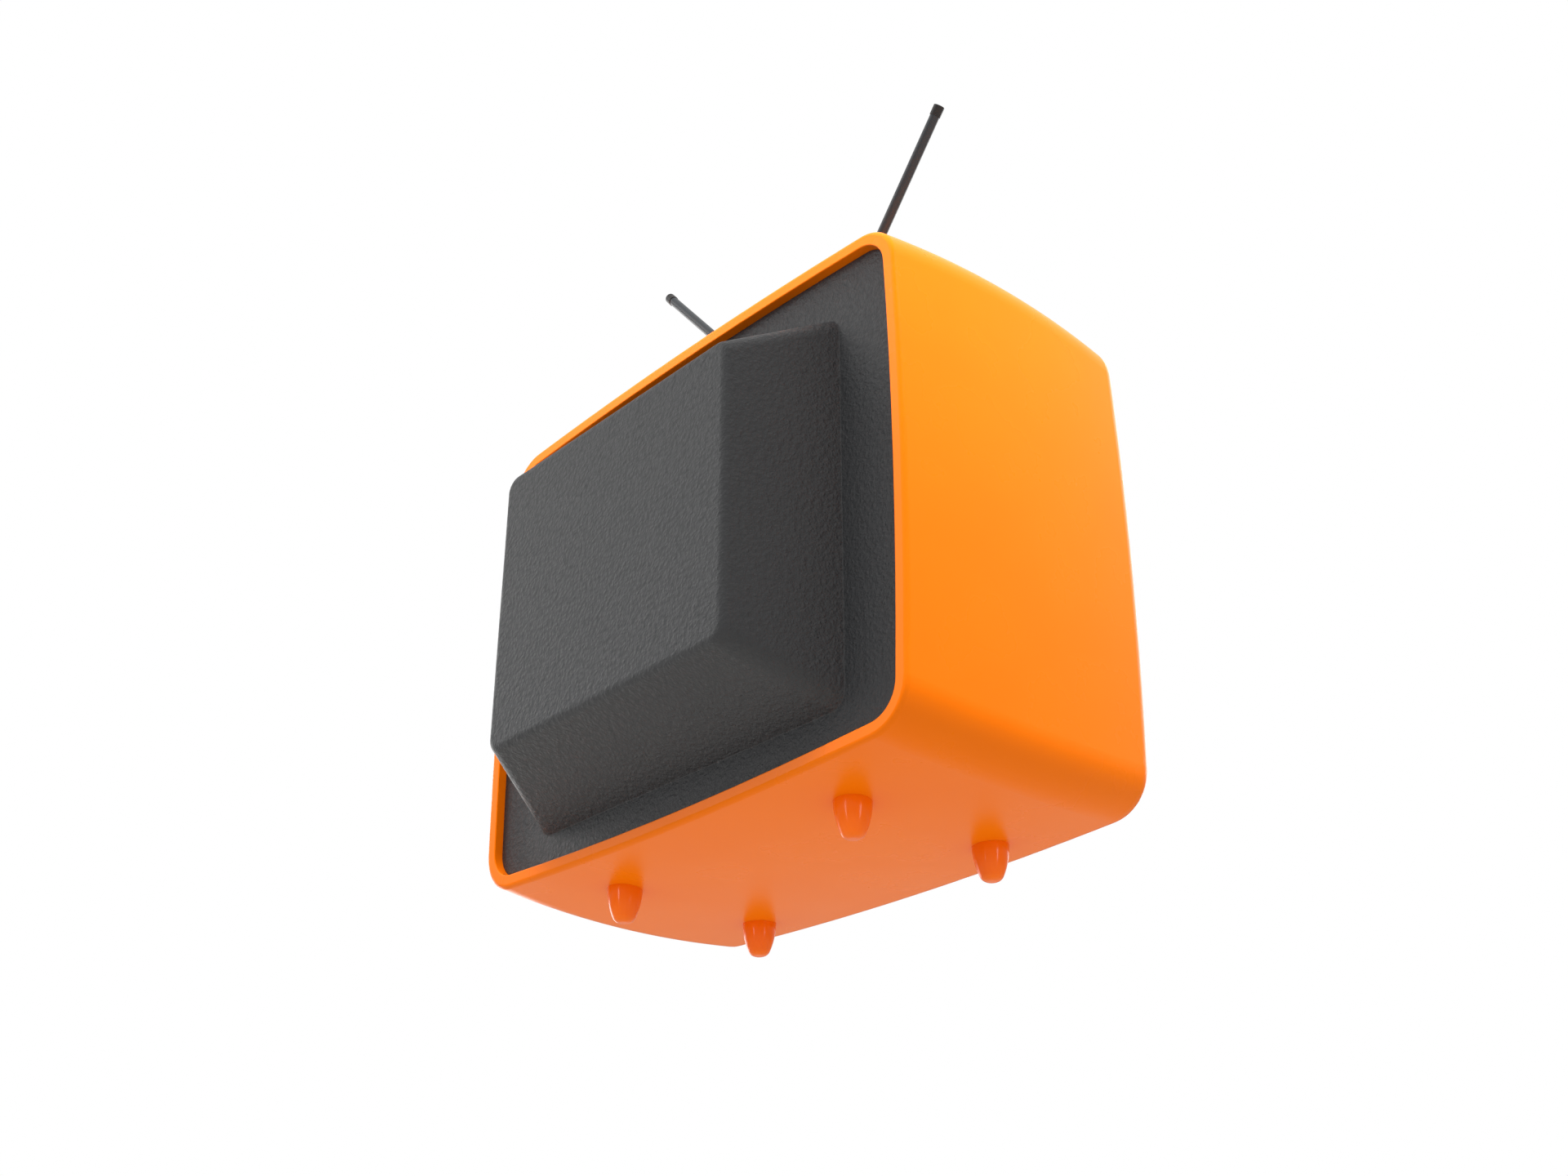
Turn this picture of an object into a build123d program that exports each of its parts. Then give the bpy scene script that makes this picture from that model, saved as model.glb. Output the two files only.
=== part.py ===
from build123d import *
import os
from math import asin, atan2, cos, degrees, hypot, pi, radians, sin, sqrt

# Portable television: a one-piece swollen cabinet on four peg feet, a snap-in rear cover
# with a tapered hump over the tube's neck, a front bezel with the screen on the left and
# the controls on the right, and two telescopic rods on swivels on top.
# Millimetres. +Z up, the screen faces -Y, +X is on the right of someone facing the screen.
# The origin is on the ground, under the middle of the whole set.

# --- Cabinet ------------------------------------------------------------------------------
cabinet_depth = 164.0
rim_half_width = 160.0
rim_half_height = 134.6
side_swell = 3.8  # a side stands this much further out halfway between the two rims
top_swell = 4.3
side_bow = 3.7  # a side stands this much further out halfway between its two corners
top_bow = 4.8
corner_radius = 23.4
front_edge_radius = 10.0
rim_edge_radius = 2.4
rim_lip_radius = 0.7
wall = 3.0
rim_width = 7.1  # rear rim, from the outside to the opening
front_rim_width = 12.5
ledge_width = 5.8  # step that the rear cover and the bezel sit on
ledge_thickness = 3.0
fit_gap = 0.3  # round a cover or bezel in its opening

# --- Rear cover ---------------------------------------------------------------------------
cover_recess = 4.8  # face of the flat border, below the rim
cover_thickness = 2.5
hump_reach = 46.3  # rear face of the hump, behind the rim
hump_base_half = (114.8, 103.2)
hump_tip_half = (90.6, 78.4)
hump_base_drop = 5.7  # hump's middle, below the cabinet's middle
hump_tip_drop = 4.0
hump_base_corner = 9.0
hump_tip_corner = 9.0
hump_edge_radius = 5.0
hump_root_radius = 0.6
vent_count = 15
vent_size = (3.2, 26.0)
vent_pitch = 8.4
vent_start = 9.0  # nearest edge of the vents, behind the rim
socket_bay = (30.0, 64.0)  # length along Y, height along Z
socket_bay_start = 8.0
socket_bay_floor_x = 84.0
socket_bay_radius = 4.0
clip_width = 12.0
clip_strip = 0.8
clip_hook = 1.8
clip_places_x = (-85.0, 85.0)
clip_places_z = (-70.0, 70.0)

# --- Feet ---------------------------------------------------------------------------------
foot_half_spacing_x = 84.3
foot_half_spacing_y = 45.2
foot_offset_y = -0.8  # middle of the feet, from the cabinet's middle
foot_height = 17.5
foot_top_radius = 9.0
foot_dome_radius = 5.7  # where the swelling side ends and the domed tip starts
foot_dome_height = 2.6
foot_flat_radius = 1.7  # flat in the middle of the tip
spigot_radius = 4.0
spigot_length = 6.0  # above the cabinet's underside
push_fit_gap = 0.1

# --- Bezel and screen ---------------------------------------------------------------------
bezel_recess = 5.0
bezel_thickness = 4.0
glass_half = (107.0, 86.0)
glass_corner = 20.0
screen_half = (98.0, 77.0)
screen_corner = 26.0
screen_bow = 3.0
screen_bevel = 8.0  # slope round the screen, seen from the front
face_radius = 480.0
face_setback = 2.0  # middle of the glass, behind the bezel's face
screen_x = -31.0
screen_rise = 0.0  # screen's middle, above the cabinet's middle
collar_wall = 3.0
gasket_thickness = 2.0
glass_wall = 3.0
panel_length = 34.0
neck_radius = 10.5
neck_wall = 1.6
neck_end = 172.0
neck_bore = neck_radius - neck_wall
pin_circle_radius = 6.0
contact_pin_radius = 0.6
pin_count = 7  # one place more on the circle is left empty
funnel = (  # distance behind the face, half width, half height, corner radius
    (34.0, 107.0, 86.0, 20.0),
    (48.0, 97.0, 78.0, 34.0),
    (62.0, 74.0, 61.0, 42.0),
    (76.0, 46.0, 41.0, 36.0),
    (88.0, 25.0, 24.0, 21.0),
    (98.0, neck_radius + 4.5, neck_radius + 4.5, neck_radius + 2.5),
    (108.0, neck_radius + 1.5, neck_radius + 1.5, neck_radius),
)
lug_half = (88.0, 99.0)
lug_radius = 6.0
lug_thickness = 2.0
band_start = 15.0
band_length = 15.0
band_thickness = 1.6

# --- Controls -----------------------------------------------------------------------------
control_x = 111.0
channel_rise = 80.0
uhf_rise = 31.0
volume_place = (-13.0, -6.0)  # from control_x and the cabinet's middle
power_place = (14.0, -6.0)
brightness_place = (-13.0, -29.0)
contrast_place = (14.0, -29.0)
trim_half_width = 27.5
trim_top = 106.0
trim_bottom = -40.0
trim_thickness = 1.0
trim_corner = 6.0
knob_gap = 1.0
knob_height = 13.0
channel_knob_radius = 16.5
ring_radius = 21.5
ring_height = 4.6
uhf_knob_radius = 18.0
volume_knob_radius = 9.5
small_knob_radius = 6.5
small_knob_height = 10.0
button_radius = 7.0
button_travel = 3.0
shaft_radius = 3.0
small_shaft_radius = 2.0
sleeve_radius = 4.8
running_gap = 0.05
hole_gap = 0.6  # round a shaft where it passes a panel
speaker_drop = 72.0
speaker_radius = 27.0
speaker_depth = 24.0
slot_count = 10
slot_height = 2.4
slot_pitch = 5.4

# --- Rods ---------------------------------------------------------------------------------
rod_offset_y = -1.6  # swivels, from the cabinet's middle
rod_half_spacing = 13.5
pivot_rise = 7.5  # above the cabinet's crest
rod_lean = 40.4  # degrees from upright
rod_turn = 2.1  # degrees that each rod is swivelled towards the rear
rod_reach = 162.7
rod_radius = 2.8
rod_wall = 0.35
tip_radius = 3.15
tip_length = 6.2
slide_gap = 0.05
base_flange_half = (32.0, 16.5)
base_body_half = (23.5, 10.0)
base_flange_rise = 2.0
base_depth = 12.0
turret_radius = 7.6
turret_top = 3.9
shank_radius = 4.5
ear_thickness = 2.6
tongue_thickness = 4.0
ear_radius = 3.2
pin_radius = 1.5
side_gap = 0.12  # between parts that turn against each other

# --- Chassis ------------------------------------------------------------------------------
board_size = (228.0, 108.0)
board_thickness = 1.6
board_rise = 12.0  # underside, above the cabinet's floor
board_start = 30.0  # rear edge, in front of the rim
post_radius = 4.0
post_inset = 8.0
screw_radius = 1.5
screw_head_radius = 3.0
screw_head_height = 2.0
foot_screw_radius = 2.0

# --- Places worked out from the sizes above -------------------------------------------------
knob_reach = knob_gap + trim_thickness + knob_height - bezel_recess
whole_length = knob_reach + cabinet_depth + hump_reach
rim_y = whole_length / 2 - hump_reach
front_y = rim_y - cabinet_depth
middle_y = (rim_y + front_y) / 2
bezel_y = front_y + bezel_recess
bezel_back_y = bezel_y + bezel_thickness
face_y = bezel_y + face_setback
cover_back_y = rim_y - cover_recess - cover_thickness
control_y = bezel_y - trim_thickness  # front of the trim plate
crest_half_height = rim_half_height + top_swell


def half_sizes(y):
    """Half width and half height of the cabinet's section at depth y."""
    share = 1 - ((y - middle_y) / (cabinet_depth / 2)) ** 2
    return rim_half_width + side_swell * share, rim_half_height + top_swell * share


def arc_radius(half_chord, rise):
    return (half_chord**2 + rise**2) / (2 * rise)


def top_at(x, y, inset=0.0):
    """Height of the cabinet's top surface above its middle, at x and y."""
    half_w, half_h = half_sizes(y)
    radius = arc_radius(half_w - side_bow, top_bow)
    return half_h - radius + sqrt((radius - inset) ** 2 - x**2)


def side_at(z, y, inset=0.0):
    """Distance of the cabinet's side from its middle plane, at z above its middle."""
    half_w, half_h = half_sizes(y)
    radius = arc_radius(half_h - top_bow, side_bow)
    return half_w - radius + sqrt((radius - inset) ** 2 - z**2)


feet_y = middle_y + foot_offset_y
middle_z = foot_height + top_at(foot_half_spacing_x, feet_y + foot_half_spacing_y)
crest_z = middle_z + crest_half_height
screen_z = middle_z + screen_rise
rods_y = middle_y + rod_offset_y
pivot_z = crest_z + pivot_rise
board_top_z = middle_z - crest_half_height + wall + board_rise + board_thickness


def bowed_outline(half_w, half_h, bow_w, bow_h, radius, y, x0, z0, inset=0.0):
    """Closed wire at depth y: a rectangle with bowed sides and rounded corners."""
    side_r = arc_radius(half_h - bow_h, bow_w)
    top_r = arc_radius(half_w - bow_w, bow_h)
    side_c, top_c = half_w - side_r, half_h - top_r
    # The corner's centre is a corner radius inside both arcs.
    gap = hypot(side_c, top_c)
    reach_a, reach_b = side_r - radius, top_r - radius
    along = (reach_a**2 - reach_b**2 + gap**2) / (2 * gap)
    off = sqrt(reach_a**2 - along**2)
    ux, uz = -side_c / gap, top_c / gap
    corner_x = side_c + along * ux - off * uz
    corner_z = along * uz + off * ux
    if corner_x < 0 or corner_z < 0:
        corner_x = side_c + along * ux + off * uz
        corner_z = along * uz - off * ux
    side_turn = atan2(corner_z, corner_x - side_c)
    top_turn = atan2(corner_z - top_c, corner_x)
    mid_turn = (side_turn + top_turn) / 2
    on_side = (
        side_c + (side_r - inset) * cos(side_turn),
        (side_r - inset) * sin(side_turn),
    )
    on_top = (
        (top_r - inset) * cos(top_turn),
        top_c + (top_r - inset) * sin(top_turn),
    )
    on_corner = (
        corner_x + (radius - inset) * cos(mid_turn),
        corner_z + (radius - inset) * sin(mid_turn),
    )

    def at(point, sx, sz):
        return (x0 + sx * point[0], y, z0 + sz * point[1])

    crown = (0, half_h - inset)
    flank = (half_w - inset, 0)
    arcs = []
    for sx, sz in ((1, 1), (-1, 1), (-1, -1), (1, -1)):
        first, last = (on_side, on_top) if sx == sz else (on_top, on_side)
        arcs.append(ThreePointArc(at(first, sx, sz), at(on_corner, sx, sz), at(last, sx, sz)))
        if sx == sz:
            arcs.append(ThreePointArc(at(on_top, sx, sz), at(crown, 1, sz), at(on_top, -sx, sz)))
        else:
            arcs.append(ThreePointArc(at(on_side, sx, sz), at(flank, sx, 1), at(on_side, sx, -sz)))
    return Wire(arcs)


def cabinet_outline(y, inset=0.0):
    half_w, half_h = half_sizes(y)
    return bowed_outline(
        half_w, half_h, side_bow, top_bow, corner_radius, y, 0, middle_z, inset
    )


def rounded_outline(half_w, half_h, radius, y, x0, z0):
    """Closed wire at depth y: a rectangle with straight sides and rounded corners."""
    flat = RectangleRounded(2 * half_w, 2 * half_h, radius)
    return (Plane(origin=(x0, y, z0), x_dir=(1, 0, 0), z_dir=(0, -1, 0)) * flat).face().outer_wire()


def slab(wire, length):
    """Solid from the wire's plane, length along +Y."""
    return extrude(Face(wire), amount=length, dir=(0, 1, 0))


def rod(radius, start, end):
    """Cylinder between two points."""
    start, end = Vector(*start), Vector(*end)
    axis = Plane(origin=start, z_dir=end - start)
    return axis * Cylinder(radius, (end - start).length, align=(Align.CENTER, Align.CENTER, Align.MIN))


def along_y(radius, x, z, y_start, y_end):
    return rod(radius, (x, y_start, z), (x, y_end, z))


def tube(radius, bore, start, end):
    return rod(radius, start, end) - rod(bore, start, end)


def block(x_range, y_range, z_range):
    """Box between the given limits along each axis."""
    spans = (x_range, y_range, z_range)
    size = [high - low for low, high in spans]
    centre = [(high + low) / 2 for low, high in spans]
    return Pos(*centre) * Box(*size)


def screw(place, heading, radius, length, head_radius, head_height):
    """Pan-head screw with a cross recess. The head sits on place, the shank runs along heading."""
    frame = Plane(origin=place, z_dir=heading)
    shank = Cylinder(radius, length, align=(Align.CENTER, Align.CENTER, Align.MIN))
    head = Pos(0, 0, -head_height) * Cylinder(
        head_radius, head_height, align=(Align.CENTER, Align.CENTER, Align.MIN)
    )
    head = chamfer(head.edges().group_by(Axis.Z)[0], head_height * 0.35)
    arm = Box(head_radius * 1.1, head_radius * 0.28, head_height)
    recess = Pos(0, 0, -head_height) * (arm + Rot(0, 0, 90) * arm)
    return frame * (shank + (head - recess))


def group(shapes):
    return Compound(children=[s.solid() if len(s.solids()) == 1 else s for s in shapes])


parts = {}


def keep(name, shape):
    parts[name] = shape
    return shape


# --- Cabinet shell and what stands on it ----------------------------------------------------
def make_cabinet_block():
    """The cabinet's outside as one solid, with its rounded front edge."""
    stations = 7
    ys = [front_y + cabinet_depth * i / (stations - 1) for i in range(stations)]
    shape = Solid.make_loft([cabinet_outline(y) for y in ys])
    front = shape.edges().filter_by_position(Axis.Y, front_y - 0.1, front_y + 0.1)
    shape = fillet(front, front_edge_radius)
    rear = shape.edges().filter_by_position(Axis.Y, rim_y - 0.1, rim_y + 0.1)
    return fillet(rear, rim_edge_radius)


foot_places = {
    "front_left": (-foot_half_spacing_x, feet_y - foot_half_spacing_y),
    "front_right": (foot_half_spacing_x, feet_y - foot_half_spacing_y),
    "rear_left": (-foot_half_spacing_x, feet_y + foot_half_spacing_y),
    "rear_right": (foot_half_spacing_x, feet_y + foot_half_spacing_y),
}
board_y_range = (rim_y - board_start - board_size[1], rim_y - board_start)
post_places = [
    (sx * (board_size[0] / 2 - post_inset), y)
    for sx in (-1, 1)
    for y in (board_y_range[0] + post_inset, board_y_range[1] - post_inset)
]
base_screw_x = (base_flange_half[0] + base_body_half[0]) / 2
base_boss_radius = 3.6
base_boss_length = 8.0


def bezel_screw_places():
    """Middle of the ledge's width, at the top, the bottom and the two sides."""
    inset = front_rim_width + ledge_width / 2
    places = [
        (sx * x, middle_z + sz * top_at(x, front_y, inset))
        for sx in (-1, 1)
        for sz in (-1, 1)
        for x in (40.0, 120.0)
    ]
    return places + [(sx * side_at(0, front_y, inset), middle_z) for sx in (-1, 1)]


def make_cabinet_shell(outside):
    rear_ledge_y = cover_back_y - ledge_thickness
    front_ledge_y = bezel_back_y + ledge_thickness
    stations = 5
    span = rear_ledge_y - front_ledge_y
    ys = [front_ledge_y + span * i / (stations - 1) for i in range(stations)]
    cavity = Solid.make_loft([cabinet_outline(y, wall) for y in ys])
    rear_mouth = slab(cabinet_outline(rim_y, rim_width), -(rim_y - cover_back_y))
    rear_step = slab(cabinet_outline(rim_y, rim_width + ledge_width), -(rim_y - rear_ledge_y))
    front_mouth = slab(cabinet_outline(front_y, front_rim_width), bezel_back_y - front_y)
    front_step = slab(cabinet_outline(front_y, front_rim_width + ledge_width), front_ledge_y - front_y)
    shell = outside - cavity - rear_mouth - rear_step - front_mouth - front_step
    lips = [
        e
        for e in shell.edges().filter_by_position(Axis.Y, rim_y - 0.1, rim_y + 0.1)
        if abs(e.center().X) < rim_half_width - rim_width + 1
        and abs(e.center().Z - middle_z) < rim_half_height - rim_width + 1
    ]
    shell = fillet(lips, rim_lip_radius)
    for x, y in post_places:
        floor = middle_z - top_at(x, y, wall)
        shell += rod(post_radius, (x, y, floor - wall / 2), (x, y, board_top_z - board_thickness))
        shell -= rod(screw_radius, (x, y, floor + 2), (x, y, board_top_z))
    for x, y in foot_places.values():
        under = middle_z - top_at(x, y)
        shell -= rod(spigot_radius + push_fit_gap, (x, y, under - 5), (x, y, under + wall + 5))
    for x, z in bezel_screw_places():
        shell -= along_y(screw_radius + 0.2, x, z, bezel_back_y - 1, front_ledge_y + 1)
    hole = extrude(
        Plane(origin=(0, rods_y, crest_z - base_depth)) * base_shape(base_body_half, push_fit_gap),
        amount=2 * base_depth,
    )
    for sx in (-1, 1):
        x = sx * base_screw_x
        boss_top = crest_z - wall / 2
        shell += rod(base_boss_radius, (x, rods_y, boss_top), (x, rods_y, boss_top - base_boss_length))
        shell -= rod(screw_radius, (x, rods_y, boss_top - base_boss_length + 1), (x, rods_y, crest_z + 1))
    return shell - hole


def make_foot(outside, x, y):
    """Bullet-shaped peg with a domed tip, cut to the cabinet's underside, with a spigot inside."""
    under = middle_z - top_at(x, y)
    past = 4.0
    flat = Vector(x + foot_flat_radius, y, 0)
    shoulder = Vector(x + foot_dome_radius, y, foot_dome_height)
    root = Vector(x + foot_top_radius, y, foot_height)
    top = root + Vector(0, 0, past)
    dome = TangentArc(flat, shoulder, tangent=(1, 0, 0))
    side = TangentArc(shoulder, root, tangent=dome % 1)
    outline = Wire(
        [
            Line((x, y, 0), flat),
            dome,
            side,
            Line(root, top),
            Line(top, (x, y, top.Z)),
            Line((x, y, top.Z), (x, y, 0)),
        ]
    )
    peg = revolve(Face(outline), Axis((x, y, 0), (0, 0, 1)))
    spigot = rod(spigot_radius, (x, y, under - 2), (x, y, under + spigot_length))
    bore = rod(foot_screw_radius, (x, y, under - 6), (x, y, under + spigot_length + 1))
    return (peg - outside) + spigot - bore


def make_foot_screws():
    screws = []
    for x, y in foot_places.values():
        top = middle_z - top_at(x, y) + spigot_length
        washer = tube(6.5, foot_screw_radius, (x, y, top), (x, y, top + 1.2))
        screws += [washer, screw((x, y, top + 1.2), (0, 0, -1), foot_screw_radius, 10, 4, 2.6)]
    return group(screws)


# --- Rear cover -----------------------------------------------------------------------------
def hump_outline(share, inset=0.0):
    """Section of the hump: share 0 at the cover's flat border, 1 at the hump's rear face."""
    mix = [a + (b - a) * share for a, b in zip(hump_base_half, hump_tip_half)]
    drop = hump_base_drop + (hump_tip_drop - hump_base_drop) * share
    radius = hump_base_corner + (hump_tip_corner - hump_base_corner) * share
    y = rim_y - cover_recess + (hump_reach + cover_recess) * share
    return rounded_outline(mix[0] - inset, mix[1] - inset, radius - inset, y, 0, middle_z - drop)


def make_rear_cover():
    face_y_ = rim_y - cover_recess
    plate = slab(cabinet_outline(rim_y, rim_width + fit_gap), cover_thickness)
    plate = Pos(0, cover_back_y - rim_y, 0) * plate
    hump = Solid.make_loft([hump_outline(0), hump_outline(1)], ruled=True)
    hump = fillet(hump.edges().group_by(Axis.Y)[-1], hump_edge_radius)
    cover = plate + hump
    root = [
        e
        for e in cover.edges().filter_by_position(Axis.Y, face_y_ - 0.05, face_y_ + 0.05)
        if abs(e.center().X) < hump_base_half[0] + 1
        and abs(e.center().Z - middle_z) < hump_base_half[1] + hump_base_drop + 1
    ]
    cover = fillet(root, hump_root_radius)
    length = hump_reach + cover_recess
    share = (length - cover_thickness) / length
    hollow = Solid.make_loft(
        [hump_outline(-cover_thickness / length, cover_thickness), hump_outline(share, cover_thickness)],
        ruled=True,
    )
    bay_y = (rim_y + socket_bay_start, rim_y + socket_bay_start + socket_bay[0])
    bay_z = (middle_z - hump_tip_drop - socket_bay[1] / 2, middle_z - hump_tip_drop + socket_bay[1] / 2)
    room = block((socket_bay_floor_x, hump_base_half[0] + 5), bay_y, bay_z)
    room = fillet(room.edges().filter_by(Axis.X), socket_bay_radius)
    grow = cover_thickness
    box = block(
        (socket_bay_floor_x - grow, hump_base_half[0]),
        (bay_y[0] - grow, bay_y[1] + grow),
        (bay_z[0] - grow, bay_z[1] + grow),
    )
    box = fillet(box.edges().filter_by(Axis.X), socket_bay_radius + grow) & (plate + hump)
    cover = (cover - hollow) + box - room
    vents_width = (vent_count - 1) * vent_pitch
    for i in range(vent_count):
        x = i * vent_pitch - vents_width / 2
        slot = block(
            (x - vent_size[0] / 2, x + vent_size[0] / 2),
            (rim_y + vent_start, rim_y + vent_start + vent_size[1]),
            (middle_z + 50, middle_z + hump_base_half[1] + 10),
        )
        cover -= fillet(slot.edges().filter_by(Axis.Z), vent_size[0] / 2 - 0.05)
    for hole in socket_holes():
        cover -= hole
    return cover


bay_middle_y = rim_y + socket_bay_start + socket_bay[0] / 2
bay_middle_z = middle_z - hump_tip_drop
inlet_z = bay_middle_z - 17.0
aerial_z = bay_middle_z + 6.0
earphone_z = bay_middle_z + 23.0
inlet_half = (7.9, 4.3)  # along Y and Z
inlet_wall = 1.6
aerial_body_radius = 7.0
jack_body_radius = 4.5
jack_bore_radius = 1.8
jack_length = 14.0


def socket_holes():
    """Holes in the bay's floor, with room for a push fit."""
    x = (socket_bay_floor_x - cover_thickness - 1, socket_bay_floor_x + 1)
    reach = [h + inlet_wall + push_fit_gap for h in inlet_half]
    inlet = block(
        x,
        (bay_middle_y - reach[0], bay_middle_y + reach[0]),
        (inlet_z - reach[1], inlet_z + reach[1]),
    )
    holes = [fillet(inlet.edges().filter_by(Axis.X), reach[1] - 0.05)]
    for radius, z in ((aerial_body_radius, aerial_z), (jack_body_radius, earphone_z)):
        centre = (bay_middle_y, z)
        holes.append(rod(radius + push_fit_gap, (x[0], *centre), (x[1], *centre)))
    return holes


def make_mains_inlet():
    """Two-pin inlet: a flanged well with two round pins."""
    depth, back = 13.0, 3.0
    y, z, x = bay_middle_y, inlet_z, socket_bay_floor_x
    hy, hz = inlet_half

    def pill(grow, x_range):
        shape = block(x_range, (y - hy - grow, y + hy + grow), (z - hz - grow, z + hz + grow))
        return fillet(shape.edges().filter_by(Axis.X), hz + grow - 0.05)

    well = pill(inlet_wall, (x - depth, x)) + pill(inlet_wall + 1.6, (x, x + 1.2))
    well -= pill(0, (x - depth + back, x + 2))
    pins = [rod(1.2, (x - depth - 5, y + s * 4.3, z), (x - 2.5, y + s * 4.3, z)) for s in (-1, 1)]
    for pin in pins:
        well -= pin
    return group([well, *pins])


def make_aerial_socket():
    """Coaxial socket: a ring with a slotted middle contact in an insulator."""
    y, z, x = bay_middle_y, aerial_z, socket_bay_floor_x
    ring = tube(aerial_body_radius, 4.8, (x - 10, y, z), (x, y, z))
    ring += tube(aerial_body_radius + 1.6, 4.8, (x, y, z), (x + 1.2, y, z))
    insulator = tube(4.8, 2.0, (x - 10, y, z), (x - 7, y, z))
    contact = tube(2.0, 1.2, (x - 13, y, z), (x - 1, y, z))
    return group([ring, insulator, contact])


def make_earphone_jack():
    y, z, x = bay_middle_y, earphone_z, socket_bay_floor_x
    body = rod(jack_body_radius, (x - jack_length - 1.5, y, z), (x, y, z))
    body += rod(jack_body_radius + 1.4, (x, y, z), (x + 1.2, y, z))
    return body - rod(jack_bore_radius, (x - jack_length, y, z), (x + 2, y, z))


def make_cover_clips():
    """Sprung hooks on the cover's inside that catch behind the ledge."""
    clips = []
    strip = clip_strip
    inset = rim_width + ledge_width + 0.4
    # Drawn for the +X side: x is outwards from the ledge's inner edge, z runs along the ledge.
    flat = block((-9.0, 0), (-strip, 0), (-clip_width / 2, clip_width / 2))
    leg_end = -(ledge_thickness + 0.2 + strip)
    leg = block((-strip, 0), (leg_end, -strip), (-clip_width / 2, clip_width / 2))
    hook = block((0, clip_hook), (leg_end, leg_end + strip), (-clip_width / 2, clip_width / 2))
    clip = flat + leg + hook
    for sx in (-1, 1):
        turn = 0 if sx > 0 else 180
        for z in clip_places_z:
            x = sx * side_at(z, rim_y, inset)
            clips.append(Pos(x, cover_back_y, middle_z + z) * Rot(0, turn, 0) * clip)
    for sz in (-1, 1):
        for x in clip_places_x:
            z = middle_z + sz * top_at(x, rim_y, inset)
            clips.append(Pos(x, cover_back_y, z) * Rot(0, -90 * sz, 0) * clip)
    return group(clips)


# --- Front bezel ------------------------------------------------------------------------------
def on_controls(place):
    return control_x + place[0], middle_z + place[1]


control_holes = [
    (control_x, middle_z + channel_rise, sleeve_radius + hole_gap),
    (control_x, middle_z + uhf_rise, shaft_radius + hole_gap),
    (*on_controls(volume_place), shaft_radius + hole_gap),
    (*on_controls(brightness_place), small_shaft_radius + hole_gap),
    (*on_controls(contrast_place), small_shaft_radius + hole_gap),
    (*on_controls(power_place), button_radius + 0.3),
]


def screen_outline(grow, y):
    return bowed_outline(
        screen_half[0] + grow,
        screen_half[1] + grow,
        screen_bow,
        screen_bow,
        screen_corner + grow,
        y,
        screen_x,
        screen_z,
    )


def face_ball(radius):
    """Ball concentric with the curve of the screen's glass."""
    return Pos(screen_x, face_y + face_radius, screen_z) * Sphere(radius)


lug_places = [
    (screen_x + sx * lug_half[0], screen_z + sz * lug_half[1]) for sx in (-1, 1) for sz in (-1, 1)
]
lug_y = face_y + band_start
speaker_z = middle_z - speaker_drop
speaker_screw_offset = (speaker_radius + 4.0) / sqrt(2)


def make_bezel():
    plate = slab(cabinet_outline(front_y, front_rim_width + fit_gap), bezel_thickness)
    plate = Pos(0, bezel_recess, 0) * plate
    mouth_depth = 16.0
    collar = slab(screen_outline(collar_wall, bezel_y + 1), 22)
    throat = Solid.make_loft(
        [screen_outline(screen_bevel, bezel_y - 0.01), screen_outline(0.0, bezel_y + mouth_depth)],
        ruled=True,
    )
    throat += slab(screen_outline(0.0, bezel_y + mouth_depth), 12)
    flange = slab(screen_outline(screen_bevel + collar_wall, bezel_y + 1), 9.0)
    bezel = plate + flange + collar - throat
    bezel -= face_ball(face_radius + gasket_thickness)
    for x, z in lug_places:
        bezel += along_y(4.6, x, z, bezel_back_y - 1, lug_y)
        bezel -= along_y(1.6, x, z, bezel_back_y + 1, lug_y + 1)
    recess = trim_outline(0.15)
    bezel -= slab(recess, -5) + slab(recess, 0.5)
    for x, z, radius in control_holes:
        bezel -= along_y(radius, x, z, bezel_y - 1, bezel_back_y + 1)
    for i in range(slot_count):
        z = speaker_z + (i - (slot_count - 1) / 2) * slot_pitch
        half = sqrt(speaker_radius**2 - (z - speaker_z) ** 2)
        slot = block(
            (control_x - half, control_x + half),
            (bezel_y - 1, bezel_back_y + 1),
            (z - slot_height / 2, z + slot_height / 2),
        )
        bezel -= fillet(slot.edges().filter_by(Axis.Y), slot_height / 2 - 0.05)
    for sx in (-1, 1):
        for sz in (-1, 1):
            x, z = control_x + sx * speaker_screw_offset, speaker_z + sz * speaker_screw_offset
            bezel -= along_y(screw_radius, x, z, bezel_y + 1.2, bezel_back_y + 1)
    for x, z in bezel_screw_places():
        bezel -= along_y(screw_radius, x, z, bezel_y + 0.8, bezel_back_y + 1)
    return bezel


def make_bezel_screws():
    y = bezel_back_y + ledge_thickness
    length = ledge_thickness + bezel_thickness - 1.2
    return group(
        [
            screw((x, y, z), (0, -1, 0), screw_radius, length, screw_head_radius, screw_head_height)
            for x, z in bezel_screw_places()
        ]
    )


def trim_outline(grow):
    half_h = (trim_top - trim_bottom) / 2 + grow
    z = middle_z + (trim_top + trim_bottom) / 2
    return rounded_outline(trim_half_width + grow, half_h, trim_corner + grow, bezel_y, control_x, z)


def make_trim_plate():
    """Thin plate in a shallow recess of the bezel, with the controls' holes."""
    plate = slab(trim_outline(0), -trim_thickness) + slab(trim_outline(0), 0.5)
    for x, z, radius in control_holes:
        plate -= along_y(radius, x, z, bezel_y - trim_thickness - 1, bezel_y + 1)
    return plate


# --- Picture tube -----------------------------------------------------------------------------
def funnel_loft(inset):
    sections = []
    for depth, half_w, half_h, radius in funnel:
        inner = min(inset, radius - 0.3)
        sections.append(
            rounded_outline(
                half_w - inner, half_h - inner, radius - inner, face_y + depth, screen_x, screen_z
            )
        )
    return Solid.make_loft(sections)


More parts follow.
